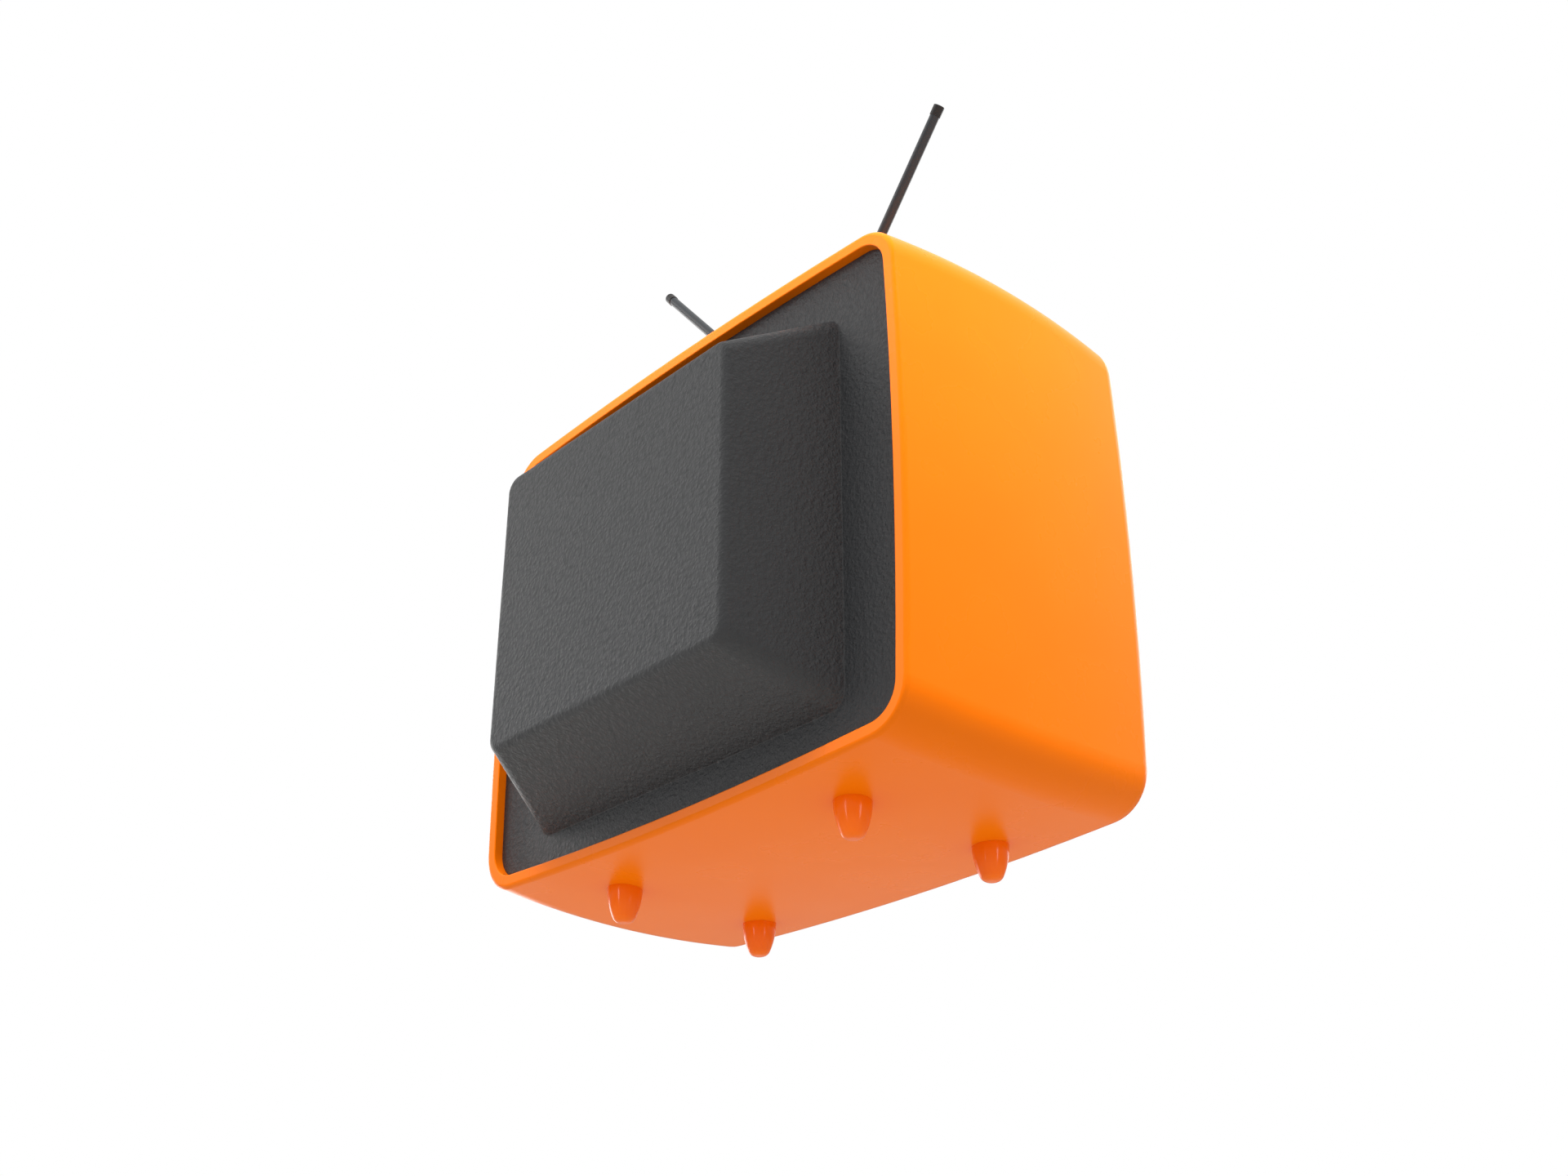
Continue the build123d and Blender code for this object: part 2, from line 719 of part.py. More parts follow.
def pin_places():
    turns = [2 * pi * i / (pin_count + 1) for i in range(pin_count)]
    return [(screen_x + pin_circle_radius * cos(t), screen_z + pin_circle_radius * sin(t)) for t in turns]


def make_picture_tube():
    start = face_y - 4
    skirt = slab(rounded_outline(*glass_half, glass_corner, start, screen_x, screen_z), 4 + panel_length)
    panel = skirt & face_ball(face_radius)
    neck_start, neck_stop = face_y + funnel[-1][0] - 1, face_y + neck_end
    envelope = panel + funnel_loft(0) + along_y(neck_radius, screen_x, screen_z, neck_start, neck_stop)
    inner_half = [h - glass_wall * 2 for h in glass_half]
    room = slab(
        rounded_outline(*inner_half, glass_corner - glass_wall, start, screen_x, screen_z),
        4 + panel_length,
    )
    room = room & face_ball(face_radius - 3 * glass_wall)
    room += funnel_loft(glass_wall)
    room += along_y(neck_bore, screen_x, screen_z, neck_start - 1, neck_stop - 2)
    glass = envelope - room
    for x, z in pin_places():
        glass += along_y(contact_pin_radius, x, z, neck_stop - 0.5, neck_stop + 6)
    return glass


def make_rim_band():
    """Steel band shrunk round the glass, with four fixing lugs."""
    y = face_y + band_start
    outer = [h + band_thickness for h in glass_half]
    band = slab(
        rounded_outline(*outer, glass_corner + band_thickness, y, screen_x, screen_z), band_length
    )
    for x, z in lug_places:
        lug = along_y(lug_radius, x, z, y, y + lug_thickness)
        toward = 1 if z > screen_z else -1
        z_range = sorted((z, screen_z + toward * glass_half[1]))
        lug += block((x - lug_radius, x + lug_radius), (y, y + lug_thickness), z_range)
        band += lug
        band -= along_y(2.2, x, z, y - 1, y + lug_thickness + 1)
    return band - slab(rounded_outline(*glass_half, glass_corner, y - 1, screen_x, screen_z), band_length + 2)


def make_tube_screws():
    y = lug_y + lug_thickness
    screws = []
    for x, z in lug_places:
        screws.append(tube(4.5, 1.6, (x, y, z), (x, y + 0.8, z)))
        screws.append(screw((x, y + 0.8, z), (0, -1, 0), 1.6, 10, 3.4, 2.4))
    return group(screws)


def make_screen_gasket():
    """Soft ring between the bezel's collar and the glass."""
    ring = slab(screen_outline(collar_wall, face_y - 2), 30) - slab(screen_outline(0.2, face_y - 3), 32)
    skin = face_ball(face_radius + gasket_thickness) - face_ball(face_radius)
    return ring & skin & block(
        (screen_x - 120, screen_x + 120), (face_y - 1, face_y + 30), (screen_z - 100, screen_z + 100)
    )


def revolved(profile, x, z):
    """Solid of revolution about the line along Y through x and z. Profile points are (y, radius)."""
    points = [(x + r, y, z) for y, r in profile]
    face = Face(Wire.make_polygon([Vector(*p) for p in points], close=True))
    return revolve(face, Axis((x, 0, z), (0, 1, 0)))


def make_electron_gun():
    """Stack of cups and discs inside the neck."""
    y = face_y + 118
    widest = neck_bore - 1.4
    cup, waist, last = widest - 0.5, widest - 2.5, widest - 1.0
    profile = [(y, 0.0), (y, cup), (y + 14, cup), (y + 14, waist), (y + 17, waist), (y + 17, widest)]
    profile += [(y + 28, widest), (y + 28, waist), (y + 31, waist), (y + 31, last)]
    profile += [(y + 42, last), (y + 42, 0.0)]
    return revolved(profile, screen_x, screen_z)


yoke_start = face_y + 90.0
coil_bore = neck_radius + 1.5


def make_yoke_coils():
    """Saddle windings: a flared horn with a thick lip at each end."""
    y, r = yoke_start, coil_bore
    profile = [(y, r + 29), (y + 5, r + 29), (y + 8, r + 16), (y + 26, r + 8), (y + 29, r + 18)]
    profile += [(y + 33, r + 18), (y + 33, r), (y + 20, r), (y + 10, r + 6.5), (y + 4, r + 13.5), (y, r + 18)]
    return revolved(profile, screen_x, screen_z)


def make_yoke_core():
    y, r = yoke_start, coil_bore
    profile = [(y + 8.5, r + 16.5), (y + 8.5, r + 26), (y + 24, r + 20), (y + 24, r + 9.6)]
    return revolved(profile, screen_x, screen_z)


def make_yoke_clamp():
    y, r = yoke_start + 33.2, neck_radius
    ring = tube(r + 4.5, r + 0.1, (screen_x, y, screen_z), (screen_x, y + 8, screen_z))
    ears = block((screen_x - 5, screen_x + 5), (y, y + 8), (screen_z + r + 2.5, screen_z + r + 10.5))
    slit = block((screen_x - 1, screen_x + 1), (y - 1, y + 9), (screen_z + r - 5.5, screen_z + r + 11.5))
    clamp = ring + ears - rod(r + 0.1, (screen_x, y - 1, screen_z), (screen_x, y + 9, screen_z))
    clamp -= slit
    magnets = []
    for i in range(2):
        start = y + 11 + 4 * i
        magnet = tube(r + 6.5, r + 0.3, (screen_x, start, screen_z), (screen_x, start + 2, screen_z))
        tab = block((screen_x - 3, screen_x + 3), (start, start + 2), (screen_z + r + 4.5, screen_z + r + 13.5))
        magnets.append(magnet + tab)
    return group([clamp, *magnets])


socket_y = face_y + neck_end + 0.3


def make_tube_socket():
    socket = along_y(neck_radius + 3.5, screen_x, screen_z, socket_y, socket_y + 10)
    for x, z in pin_places():
        socket -= along_y(contact_pin_radius + 0.3, x, z, socket_y - 1, socket_y + 7)
    return socket


def make_neck_board():
    y = socket_y + 10
    board = block((screen_x - 34, screen_x + 34), (y, y + board_thickness), (screen_z - 30, screen_z + 30))
    board = fillet(board.edges().filter_by(Axis.Y), 3)
    parts_on = [
        block((screen_x + 20, screen_x + 30), (y - 9, y), (screen_z - 22, screen_z - 10)),
        block((screen_x - 30, screen_x - 20), (y - 7, y), (screen_z + 6, screen_z + 22)),
        along_y(3.4, screen_x + 25, screen_z + 16, y - 12, y),
    ]
    return group([board, *parts_on])


# --- Chassis ----------------------------------------------------------------------------------
def make_main_board():
    half = board_size[0] / 2
    z = (board_top_z - board_thickness, board_top_z)
    board = block((-half, half), board_y_range, z)
    board = fillet(board.edges().filter_by(Axis.Z), 4)
    for x, y in post_places:
        board -= rod(screw_radius + 0.2, (x, y, z[0] - 1), (x, y, z[1] + 1))
    return board


def on_board(x, back):
    """Point on the board's top, back millimetres in front of its rear edge."""
    return x, board_y_range[1] - back, board_top_z


def standing_can(x, back, radius, height):
    x, y, z = on_board(x, back)
    can = rod(radius, (x, y, z), (x, y, z + height))
    return fillet(can.edges().group_by(Axis.Z)[-1], radius * 0.12)


def make_capacitors():
    cans = [(-38, 30, 11, 30), (-12, 34, 8, 24), (8, 20, 6.5, 20), (-18, 74, 5, 14), (24, 70, 5, 14)]
    return group([standing_can(*can) for can in cans])


def make_board_components():
    """Resistors lying on the board, coil cans and small transistors."""
    pieces = []
    for i in range(9):
        x, y, z = on_board(-90 + 15 * i, 92)
        pieces.append(rod(1.7, (x, y - 4, z + 1.9), (x, y + 4, z + 1.9)))
    for i in range(4):
        x, y, z = on_board(-84 + 16 * i, 78 - 4 * (i % 2))
        pieces.append(block((x - 4.5, x + 4.5), (y - 4.5, y + 4.5), (z, z + 13)))
    for i in range(5):
        x, y, z = on_board(-2 + 13 * i, 54)
        pieces.append(block((x - 2.3, x + 2.3), (y - 2, y + 2), (z, z + 6)))
    x, y, z = on_board(66, 84)
    pieces.append(block((x - 11, x + 11), (y - 4, y + 4), (z, z + 9)))
    return group(pieces)


def make_heat_sink():
    """Upright aluminium plate with fins along the board's rear edge."""
    x, y, z = on_board(0, 5)
    sink = block((x - 44, x + 44), (y - 1.5, y + 1.5), (z, z + 44))
    for i in range(12):
        fin = x - 42 + i * 84 / 11
        sink += block((fin - 0.8, fin + 0.8), (y, y + 11), (z + 6, z + 44))
    return sink


def make_power_transistors():
    x, y, z = on_board(0, 5)
    bodies = []
    for dx in (-28, 0, 28):
        bodies.append(block((x + dx - 5, x + dx + 5), (y - 6, y - 1.5), (z + 22, z + 37)))
        for leg in (-2.5, 0, 2.5):
            bodies.append(rod(0.5, (x + dx + leg, y - 3.5, z), (x + dx + leg, y - 3.5, z + 22)))
    return group(bodies)


flyback_x, flyback_back = 82.0, 36.0


def make_flyback_coil():
    x, y, z = on_board(flyback_x, flyback_back)
    coil = rod(17, (x, y, z + 8), (x, y, z + 46))
    coil += block((x - 14, x + 14), (y + 6, y + 22), (z, z + 40))
    return coil - block((x - 6.2, x + 6.2), (y - 6.2, y + 6.2), (z + 7, z + 47))


def make_flyback_core():
    """Square ferrite ring through the coil."""
    x, y, z = on_board(flyback_x, flyback_back)
    core = block((x - 6, x + 6), (y - 28, y + 6), (z + 1, z + 53))
    return core - block((x - 7, x + 7), (y - 18.5, y - 6), (z + 7.5, z + 46.5)) - block(
        (x - 7, x + 7), (y - 18.5, y - 17), (z + 7, z + 47)
    )


def make_transformer_core():
    """Laminated core: an upright window frame round the winding."""
    x, y, z = on_board(-82, 34)
    core = block((x - 30, x + 30), (y - 12, y + 12), (z, z + 50))
    for side in (-1, 1):
        inner = sorted((side * 9.5, side * 20.5))
        core -= block((x + inner[0], x + inner[1]), (y - 13, y + 13), (z + 9.5, z + 40.5))
    return fillet(core.edges().filter_by(Axis.Y), 0.8)


def make_transformer_winding():
    x, y, z = on_board(-82, 34)
    coil = block((x - 20, x + 20), (y - 20, y + 20), (z + 10, z + 40))
    coil = fillet(coil.edges().filter_by(Axis.Z), 5)
    return coil - block((x - 9.8, x + 9.8), (y - 12.2, y + 12.2), (z + 9, z + 41))


def make_tuners():
    """Screened tuner cans behind the channel and UHF knobs."""
    cans = []
    for rise, half, length, bore in (
        (channel_rise, (21.0, 22.0), 62.0, sleeve_radius),
        (uhf_rise, (19.0, 19.0), 46.0, shaft_radius),
    ):
        x, z, y = control_x, middle_z + rise, bezel_back_y + 6
        can = block((x - half[0], x + half[0]), (y, y + length), (z - half[1], z + half[1]))
        can = fillet(can.edges().filter_by(Axis.Y), 1.5)
        can += along_y(bore + 2.5, x, z, y - 5.5, y)
        can -= along_y(bore + running_gap, x, z, y - 6, y + 30)
        cans.append(can)
    return group(cans)


control_board_y = bezel_back_y + 24.0


def make_control_board():
    """Small upright board with the volume, brightness and contrast controls and the switch."""
    low, high = middle_z - 40, middle_z + 6
    board = block(
        (control_x - 25, control_x + 25), (control_board_y, control_board_y + board_thickness), (low, high)
    )
    pieces = [board]
    for place, body_radius, bore in (
        (volume_place, 8.5, shaft_radius),
        (brightness_place, 6.0, small_shaft_radius),
        (contrast_place, 6.0, small_shaft_radius),
    ):
        x, z = on_controls(place)
        pot = along_y(body_radius, x, z, control_board_y - 9, control_board_y)
        pot += along_y(bore + 1.6, x, z, control_board_y - 15, control_board_y - 9)
        pieces.append(pot - along_y(bore + running_gap, x, z, control_board_y - 16, control_board_y - 3))
    x, z = on_controls(power_place)
    switch = block((x - 6, x + 6), (control_board_y - 12, control_board_y), (z - 6, z + 6))
    pieces.append(switch - block((x - 3.1, x + 3.1), (control_board_y - 13, control_board_y - 2), (z - 3.1, z + 3.1)))
    return group(pieces)


# --- Knobs ------------------------------------------------------------------------------------
def fluted(radius, height, flutes, flute_radius, x, z, y):
    """Knob standing out along -Y from depth y, with rounded flutes round its skirt."""
    knob = along_y(radius, x, z, y - height, y)
    front = knob.edges().group_by(Axis.Y)[0]
    knob = fillet(front, 1.6)
    for i in range(flutes):
        turn = 2 * pi * i / flutes
        reach = radius + flute_radius * 0.45
        fx, fz = x + reach * cos(turn), z + reach * sin(turn)
        knob -= along_y(flute_radius, fx, fz, y - height * 0.82, y + 1)
    return knob


def with_pointer(knob, radius, height, x, z, y):
    """Cuts a pointer groove into the knob's face, pointing up."""
    groove = block((x - 0.7, x + 0.7), (y - height - 1, y - height + 0.7), (z + radius * 0.35, z + radius * 0.86))
    return knob - groove


def make_channel_knob():
    x, z, y = control_x, middle_z + channel_rise, control_y - knob_gap
    seat = ring_height + 0.6
    knob = fluted(channel_knob_radius, knob_height - seat, 18, 2.2, x, z, y - seat)
    dish = Pos(x, y - knob_height - 26.5, z) * Sphere(28.0)
    knob = with_pointer(knob - dish, channel_knob_radius, knob_height - 0.9, x, z, y)
    shaft = along_y(shaft_radius, x, z, y - knob_height + 5, bezel_back_y + 34)
    return group([knob - shaft, shaft])


def make_fine_tuning_ring():
    x, z, y = control_x, middle_z + channel_rise, control_y - knob_gap
    ring = along_y(ring_radius, x, z, y - ring_height, y)
    ring = fillet(ring.edges().group_by(Axis.Y)[0], 1.0)
    teeth = 48
    for i in range(teeth):
        turn = 2 * pi * i / teeth
        fx, fz = x + (ring_radius + 0.4) * cos(turn), z + (ring_radius + 0.4) * sin(turn)
        ring -= along_y(0.9, fx, fz, y - ring_height - 1, y + 1)
    ring += along_y(sleeve_radius, x, z, y - 1, bezel_back_y + 22)
    return ring - along_y(shaft_radius + running_gap, x, z, y - ring_height - 1, bezel_back_y + 23)


def make_uhf_knob():
    x, z, y = control_x, middle_z + uhf_rise, control_y - knob_gap
    knob = fluted(uhf_knob_radius, knob_height, 20, 2.2, x, z, y)
    dish = Pos(x, y - knob_height - 29.5, z) * Sphere(31.0)
    knob = with_pointer(knob - dish, uhf_knob_radius, knob_height - 0.9, x, z, y)
    shaft = along_y(shaft_radius, x, z, y - knob_height + 5, bezel_back_y + 30)
    return group([knob - shaft, shaft])


def make_small_knob(place, radius, height, shaft, flutes):
    x, z = on_controls(place)
    y = control_y - knob_gap
    knob = fluted(radius, height, flutes, 1.0, x, z, y)
    knob = with_pointer(knob, radius, height, x, z, y)
    stem = along_y(shaft, x, z, y - height + 4, control_board_y - 4)
    return group([knob - stem, stem])


def make_power_button():
    x, z = on_controls(power_place)
    cap_end = bezel_back_y + 2
    cap = along_y(button_radius, x, z, control_y - 5.5, cap_end)
    cap = fillet(cap.edges().group_by(Axis.Y)[0], 1.2)
    return cap + block((x - 3, x + 3), (cap_end, control_board_y - 6), (z - 3, z + 3))


# --- Speaker ----------------------------------------------------------------------------------
def make_speaker_frame():
    """Steel basket with its magnet."""
    x, z, y = control_x, speaker_z, bezel_back_y
    r = speaker_radius
    profile = [(y, r + 1.5), (y + 1.5, r + 1.5), (y + 1.5, r - 1.5), (y + 11, 17.0), (y + 12, 17.0)]
    profile += [(y + 12, 20.0), (y + speaker_depth, 20.0), (y + speaker_depth, 0.0), (y + 12.5, 0.0)]
    profile += [(y + 12.5, 10.0), (y + 10.5, 15.5), (y + 1.0, r - 3.0), (y, r - 3.0)]
    frame = revolved(profile, x, z)
    for sx in (-1, 1):
        for sz in (-1, 1):
            ex, ez = x + sx * speaker_screw_offset, z + sz * speaker_screw_offset
            ear = along_y(3.4, ex, ez, y, y + 1.5)
            frame += ear - along_y(r - 3.0, x, z, y - 1, y + 2)
            frame -= along_y(screw_radius + 0.2, ex, ez, y - 1, y + 3)
    return frame


def make_speaker_cone():
    x, z, y = control_x, speaker_z, bezel_back_y
    r = speaker_radius - 3.0
    profile = [(y + 0.2, r), (y + 1.0, r), (y + 1.0, r - 1.4), (y + 10.4, 9.5), (y + 12.0, 9.0)]
    profile += [(y + 12.0, 0.0), (y + 6.4, 0.0), (y + 7.4, 6.0), (y + 9.6, 9.0), (y + 0.2, r - 2.4)]
    return revolved(profile, x, z)


def make_chassis_screws():
    """Screws of the main board, the speaker and the rods' base."""
    screws = []
    for x, y in post_places:
        place = (x, y, board_top_z)
        screws.append(screw(place, (0, 0, -1), screw_radius, 7, screw_head_radius, screw_head_height))
    for sx in (-1, 1):
        for sz in (-1, 1):
            place = (
                control_x + sx * speaker_screw_offset,
                bezel_back_y + 1.5,
                speaker_z + sz * speaker_screw_offset,
            )
            screws.append(screw(place, (0, -1, 0), screw_radius, 4, 2.6, 1.6))
    for sx in (-1, 1):
        place = (sx * base_screw_x, rods_y, crest_z + base_flange_rise)
        screws.append(screw(place, (0, 0, -1), screw_radius, 8, 2.8, 1.2))
    return group(screws)


# --- High-voltage lead --------------------------------------------------------------------------
cap_y = face_y + 54.0
cap_z = screen_z + 69.0
cap_radius = 11.0
lead_radius = 2.0


def make_anode_cap():
    """Rubber cup on the funnel's upper side."""
    lean = Plane(origin=(screen_x, cap_y, cap_z), z_dir=(0, 0.72, 0.69))
    cup = Cylinder(cap_radius, 8, align=(Align.CENTER, Align.CENTER, Align.MIN))
    cup = fillet(cup.edges().group_by(Axis.Z)[-1], 2.5)
    return lean * cup - funnel_loft(0)


def make_anode_lead():
    """Thick insulated lead from the cup, over the yoke and down to the flyback coil."""
    lean = Vector(0, 0.72, 0.69).normalized()
    start = Vector(screen_x, cap_y, cap_z) + lean * 8
    x, y, z = on_board(flyback_x, flyback_back)
    points = [
        start,
        start + lean * 9,
        Vector(screen_x + 16, cap_y + 34, cap_z + 14),
        Vector(screen_x + 48, cap_y + 50, cap_z + 6),
        Vector(screen_x + 84, cap_y + 54, cap_z - 22),
        Vector(x + 9, y + 17, z + 92),
        Vector(x + 10, y + 19, z + 64),
        Vector(x + 10, y + 19, z + 40),
    ]
    path = smooth_route(points)
    section = Plane(origin=path @ 0, z_dir=path % 0) * Circle(lead_radius)
    return sweep(section, path=path)


def smooth_route(points):
    """Straight runs joined by tangent arcs, each as large as its two runs allow."""
    share = 0.45
    radii = []
    for before, here, after in zip(points, points[1:], points[2:]):
        turn = radians((here - before).get_angle(after - here))
        run = min((here - before).length, (after - here).length)
        radii.append(share * run / (sin(turn / 2) / cos(turn / 2)))
    print("lead radii", [round(r, 1) for r in radii])
    return FilletPolyline(*points, radius=radii)


# --- Telescopic rods ----------------------------------------------------------------------------
def base_shape(half, grow=0.0):
    return SlotOverall(2 * (half[0] + grow), 2 * (half[1] + grow))


def make_antenna_base(outside):
    frame = Plane(origin=(0, rods_y, crest_z - 2))
    flange = extrude(frame * base_shape(base_flange_half), amount=2 + base_flange_rise)
    flange = fillet(flange.edges().group_by(Axis.Z)[-1], 1.2) - outside
    body = extrude(
        Plane(origin=(0, rods_y, crest_z - base_depth)) * base_shape(base_body_half),
        amount=base_depth + base_flange_rise / 2,
    )
    base = flange + body
    for sx in (-1, 1):
        x = sx * rod_half_spacing
        base -= rod(shank_radius + running_gap, (x, rods_y, crest_z - 20), (x, rods_y, crest_z + 10))
        x = sx * base_screw_x
        base -= rod(screw_radius + 0.2, (x, rods_y, crest_z - 5), (x, rods_y, crest_z + 5))
    return base


def lean_direction(side):
    outward = sin(radians(rod_lean))
    turn = radians(rod_turn)
    return Vector(side * outward * cos(turn), outward * sin(turn), cos(radians(rod_lean)))


def tilt_axis(side):
    """Direction of the pin that a rod tilts on."""
    turn = radians(rod_turn)
    return Vector(-side * sin(turn), cos(turn), 0)


def swivelled(side, shape):
    """Turns a turret's piece, drawn square to the cabinet, to its place at rest."""
    return shape.rotate(Axis((side * rod_half_spacing, rods_y, 0), (0, 0, 1)), side * rod_turn)


def make_turret(side):
    """Swivel: a disc and shank in the base, and a fork for the rod's tongue."""
    x = side * rod_half_spacing
    low = crest_z + base_flange_rise + side_gap
    disc = rod(turret_radius, (x, rods_y, low), (x, rods_y, crest_z + turret_top))
    shank_end = crest_z - base_depth - side_gap
    shank = rod(shank_radius, (x, rods_y, shank_end - 1.5), (x, rods_y, low + 0.5))
    washer = tube(7.0, shank_radius, (x, rods_y, shank_end - 1.2), (x, rods_y, shank_end))
    reach = tongue_thickness / 2 + side_gap + ear_thickness
    fork = block(
        (x - ear_radius, x + ear_radius),
        (rods_y - reach, rods_y + reach),
        (crest_z + turret_top - 0.5, pivot_z),
    )
    fork += rod(ear_radius, (x, rods_y - reach, pivot_z), (x, rods_y + reach, pivot_z))
    gap = tongue_thickness / 2 + side_gap
    slot = block(
        (x - 6, x + 6), (rods_y - gap, rods_y + gap), (crest_z + turret_top, pivot_z + 8)
    )
    fork = fork - slot - rod(pin_radius, (x, rods_y - 9, pivot_z), (x, rods_y + 9, pivot_z))
    return group([swivelled(side, disc + shank + fork), washer])


def make_pivot_pin(side):
    x = side * rod_half_spacing
    reach = tongue_thickness / 2 + side_gap + ear_thickness
    pin = rod(pin_radius, (x, rods_y - reach - 0.4, pivot_z), (x, rods_y + reach, pivot_z))
    head = rod(2.3, (x, rods_y - reach - 1.2, pivot_z), (x, rods_y - reach, pivot_z))
    return swivelled(side, pin + head)


def on_rod(side, distance):
    pivot = Vector(side * rod_half_spacing, rods_y, pivot_z)
    return pivot + lean_direction(side) * distance


ferrule_start, ferrule_end = 6.0, 14.0
mouth = rod_reach - tip_length  # where the outer tube ends
middle_radius = rod_radius - rod_wall - slide_gap
inner_radius = middle_radius - rod_wall - slide_gap
inner_seat = 3.6  # length of the inner section inside the tip


def make_outer_tube(side):
    """Tongue, ferrule and the outer tube."""
    frame = Plane(origin=on_rod(side, 0), x_dir=lean_direction(side), z_dir=tilt_axis(side))
    tongue = frame * (
        extrude(Pos(4.5, 0) * Rectangle(9, 2 * ear_radius - 0.6), amount=tongue_thickness / 2, both=True)
        + extrude(Circle(ear_radius - 0.3), amount=tongue_thickness / 2, both=True)
    )
    reach = tilt_axis(side) * tongue_thickness
    bore = rod(pin_radius + running_gap, on_rod(side, 0) - reach, on_rod(side, 0) + reach)
    ferrule = rod(rod_radius + 0.25, on_rod(side, ferrule_start), on_rod(side, ferrule_end))
    sleeve = rod(rod_radius, on_rod(side, ferrule_end - 1), on_rod(side, mouth))
    hollow = rod(rod_radius - rod_wall, on_rod(side, ferrule_end), on_rod(side, mouth + 1))
    return tongue - bore + ferrule + sleeve - hollow


def make_middle_section(side):
    start = on_rod(side, ferrule_end + 0.5)
    return tube(middle_radius, middle_radius - rod_wall, start, on_rod(side, mouth))


def make_inner_section(side):
    return rod(inner_radius, on_rod(side, ferrule_end + 1), on_rod(side, mouth + inner_seat))


def make_tip(side):
    length = tip_length - 0.2
    tip = Cylinder(tip_radius, length, align=(Align.CENTER, Align.CENTER, Align.MIN))
    tip = fillet(tip.edges().group_by(Axis.Z)[-1], 0.5)
    tip = Plane(origin=on_rod(side, mouth + 0.2), z_dir=lean_direction(side)) * tip
    return tip - make_inner_section(side)


# --- Build everything ---------------------------------------------------------------------------
def build():
    outside = make_cabinet_block()
    keep("cabinet_shell", make_cabinet_shell(outside))
    for name, (x, y) in foot_places.items():
        keep("foot_" + name, make_foot(outside, x, y))
    keep("foot_screws", make_foot_screws())
    keep("rear_cover", make_rear_cover())
    keep("cover_clips", make_cover_clips())
    keep("mains_inlet", make_mains_inlet())
    keep("aerial_socket", make_aerial_socket())
    keep("earphone_jack", make_earphone_jack())
    keep("front_bezel", make_bezel())
    keep("bezel_screws", make_bezel_screws())
    keep("trim_plate", make_trim_plate())
    keep("picture_tube", make_picture_tube())
    keep("tube_rim_band", make_rim_band())
    keep("tube_screws", make_tube_screws())
    keep("screen_gasket", make_screen_gasket())
    keep("electron_gun", make_electron_gun())
    keep("yoke_coils", make_yoke_coils())
    keep("yoke_core", make_yoke_core())
    keep("yoke_clamp", make_yoke_clamp())
    keep("tube_socket", make_tube_socket())
    keep("neck_board", make_neck_board())
    keep("anode_cap", make_anode_cap())
    keep("anode_lead", make_anode_lead())
    keep("main_board", make_main_board())
    keep("electrolytic_capacitors", make_capacitors())
    keep("board_components", make_board_components())
    keep("heat_sink", make_heat_sink())
    keep("power_transistors", make_power_transistors())
    keep("flyback_coil", make_flyback_coil())
    keep("flyback_core", make_flyback_core())
    keep("transformer_core", make_transformer_core())
    keep("transformer_winding", make_transformer_winding())
    keep("tuners", make_tuners())
    keep("control_board", make_control_board())
    keep("channel_knob", make_channel_knob())
    keep("fine_tuning_ring", make_fine_tuning_ring())
    keep("uhf_knob", make_uhf_knob())
    keep("volume_knob", make_small_knob(volume_place, volume_knob_radius, knob_height, shaft_radius, 16))
    for name, place in (("brightness_knob", brightness_place), ("contrast_knob", contrast_place)):
        keep(name, make_small_knob(place, small_knob_radius, small_knob_height, small_shaft_radius, 12))
    keep("power_button", make_power_button())
    keep("speaker_frame", make_speaker_frame())
    keep("speaker_cone", make_speaker_cone())
    keep("chassis_screws", make_chassis_screws())
    keep("antenna_base", make_antenna_base(outside))
    for name, side in (("left", -1), ("right", 1)):
        keep(name + "_turret", make_turret(side))
        keep(name + "_pivot_pin", make_pivot_pin(side))
        keep(name + "_antenna_tube", make_outer_tube(side))
        keep(name + "_antenna_middle", make_middle_section(side))
        keep(name + "_antenna_inner", make_inner_section(side))
        keep(name + "_antenna_tip", make_tip(side))


build()
os.makedirs("parts", exist_ok=True)
for node, shape in parts.items():
    export_step(shape, f"parts/{node}.step")
print(len(parts), "nodes")
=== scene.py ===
# %% [markdown]
# # A portable television, dressed in Blender
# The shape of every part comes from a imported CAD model. This lesson loads it, sets up a camera,
# light and floor, gives each part the finish of its real material, and adds the small details
# that the CAD leaves out: printed dial marks and numbers, painted pointers, spun knob caps, and
# the cloth behind the speaker slots.
# Lengths are in metres. +Z is up, the screen faces -Y, and the origin is on the ground.

# %% Load the model and keep its box
from math import cos, pi, radians, sin, sqrt

import bmesh
import bpy
from mathutils import Matrix, Vector


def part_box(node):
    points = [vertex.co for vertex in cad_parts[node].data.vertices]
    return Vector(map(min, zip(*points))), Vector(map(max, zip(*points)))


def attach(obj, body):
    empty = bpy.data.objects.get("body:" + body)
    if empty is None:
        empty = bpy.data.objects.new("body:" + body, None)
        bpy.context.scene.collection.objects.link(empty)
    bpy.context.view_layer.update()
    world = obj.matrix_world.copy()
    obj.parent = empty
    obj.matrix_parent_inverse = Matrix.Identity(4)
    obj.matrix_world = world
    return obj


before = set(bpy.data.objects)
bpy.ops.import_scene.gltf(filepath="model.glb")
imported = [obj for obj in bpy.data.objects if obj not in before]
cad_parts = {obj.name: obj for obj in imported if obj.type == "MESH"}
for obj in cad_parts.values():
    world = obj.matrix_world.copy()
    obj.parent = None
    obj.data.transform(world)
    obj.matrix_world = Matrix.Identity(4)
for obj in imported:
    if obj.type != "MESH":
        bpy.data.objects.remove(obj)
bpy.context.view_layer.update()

# %% [markdown]
# The set is seen from behind and from well below, as if it were floating, and from the side that
# is on the left of someone facing the screen. A camera is easiest to place by the point that it
# looks at and the angles from there, so both are named. The point is measured from the middle of
# the cabinet, which the shell's own box gives.

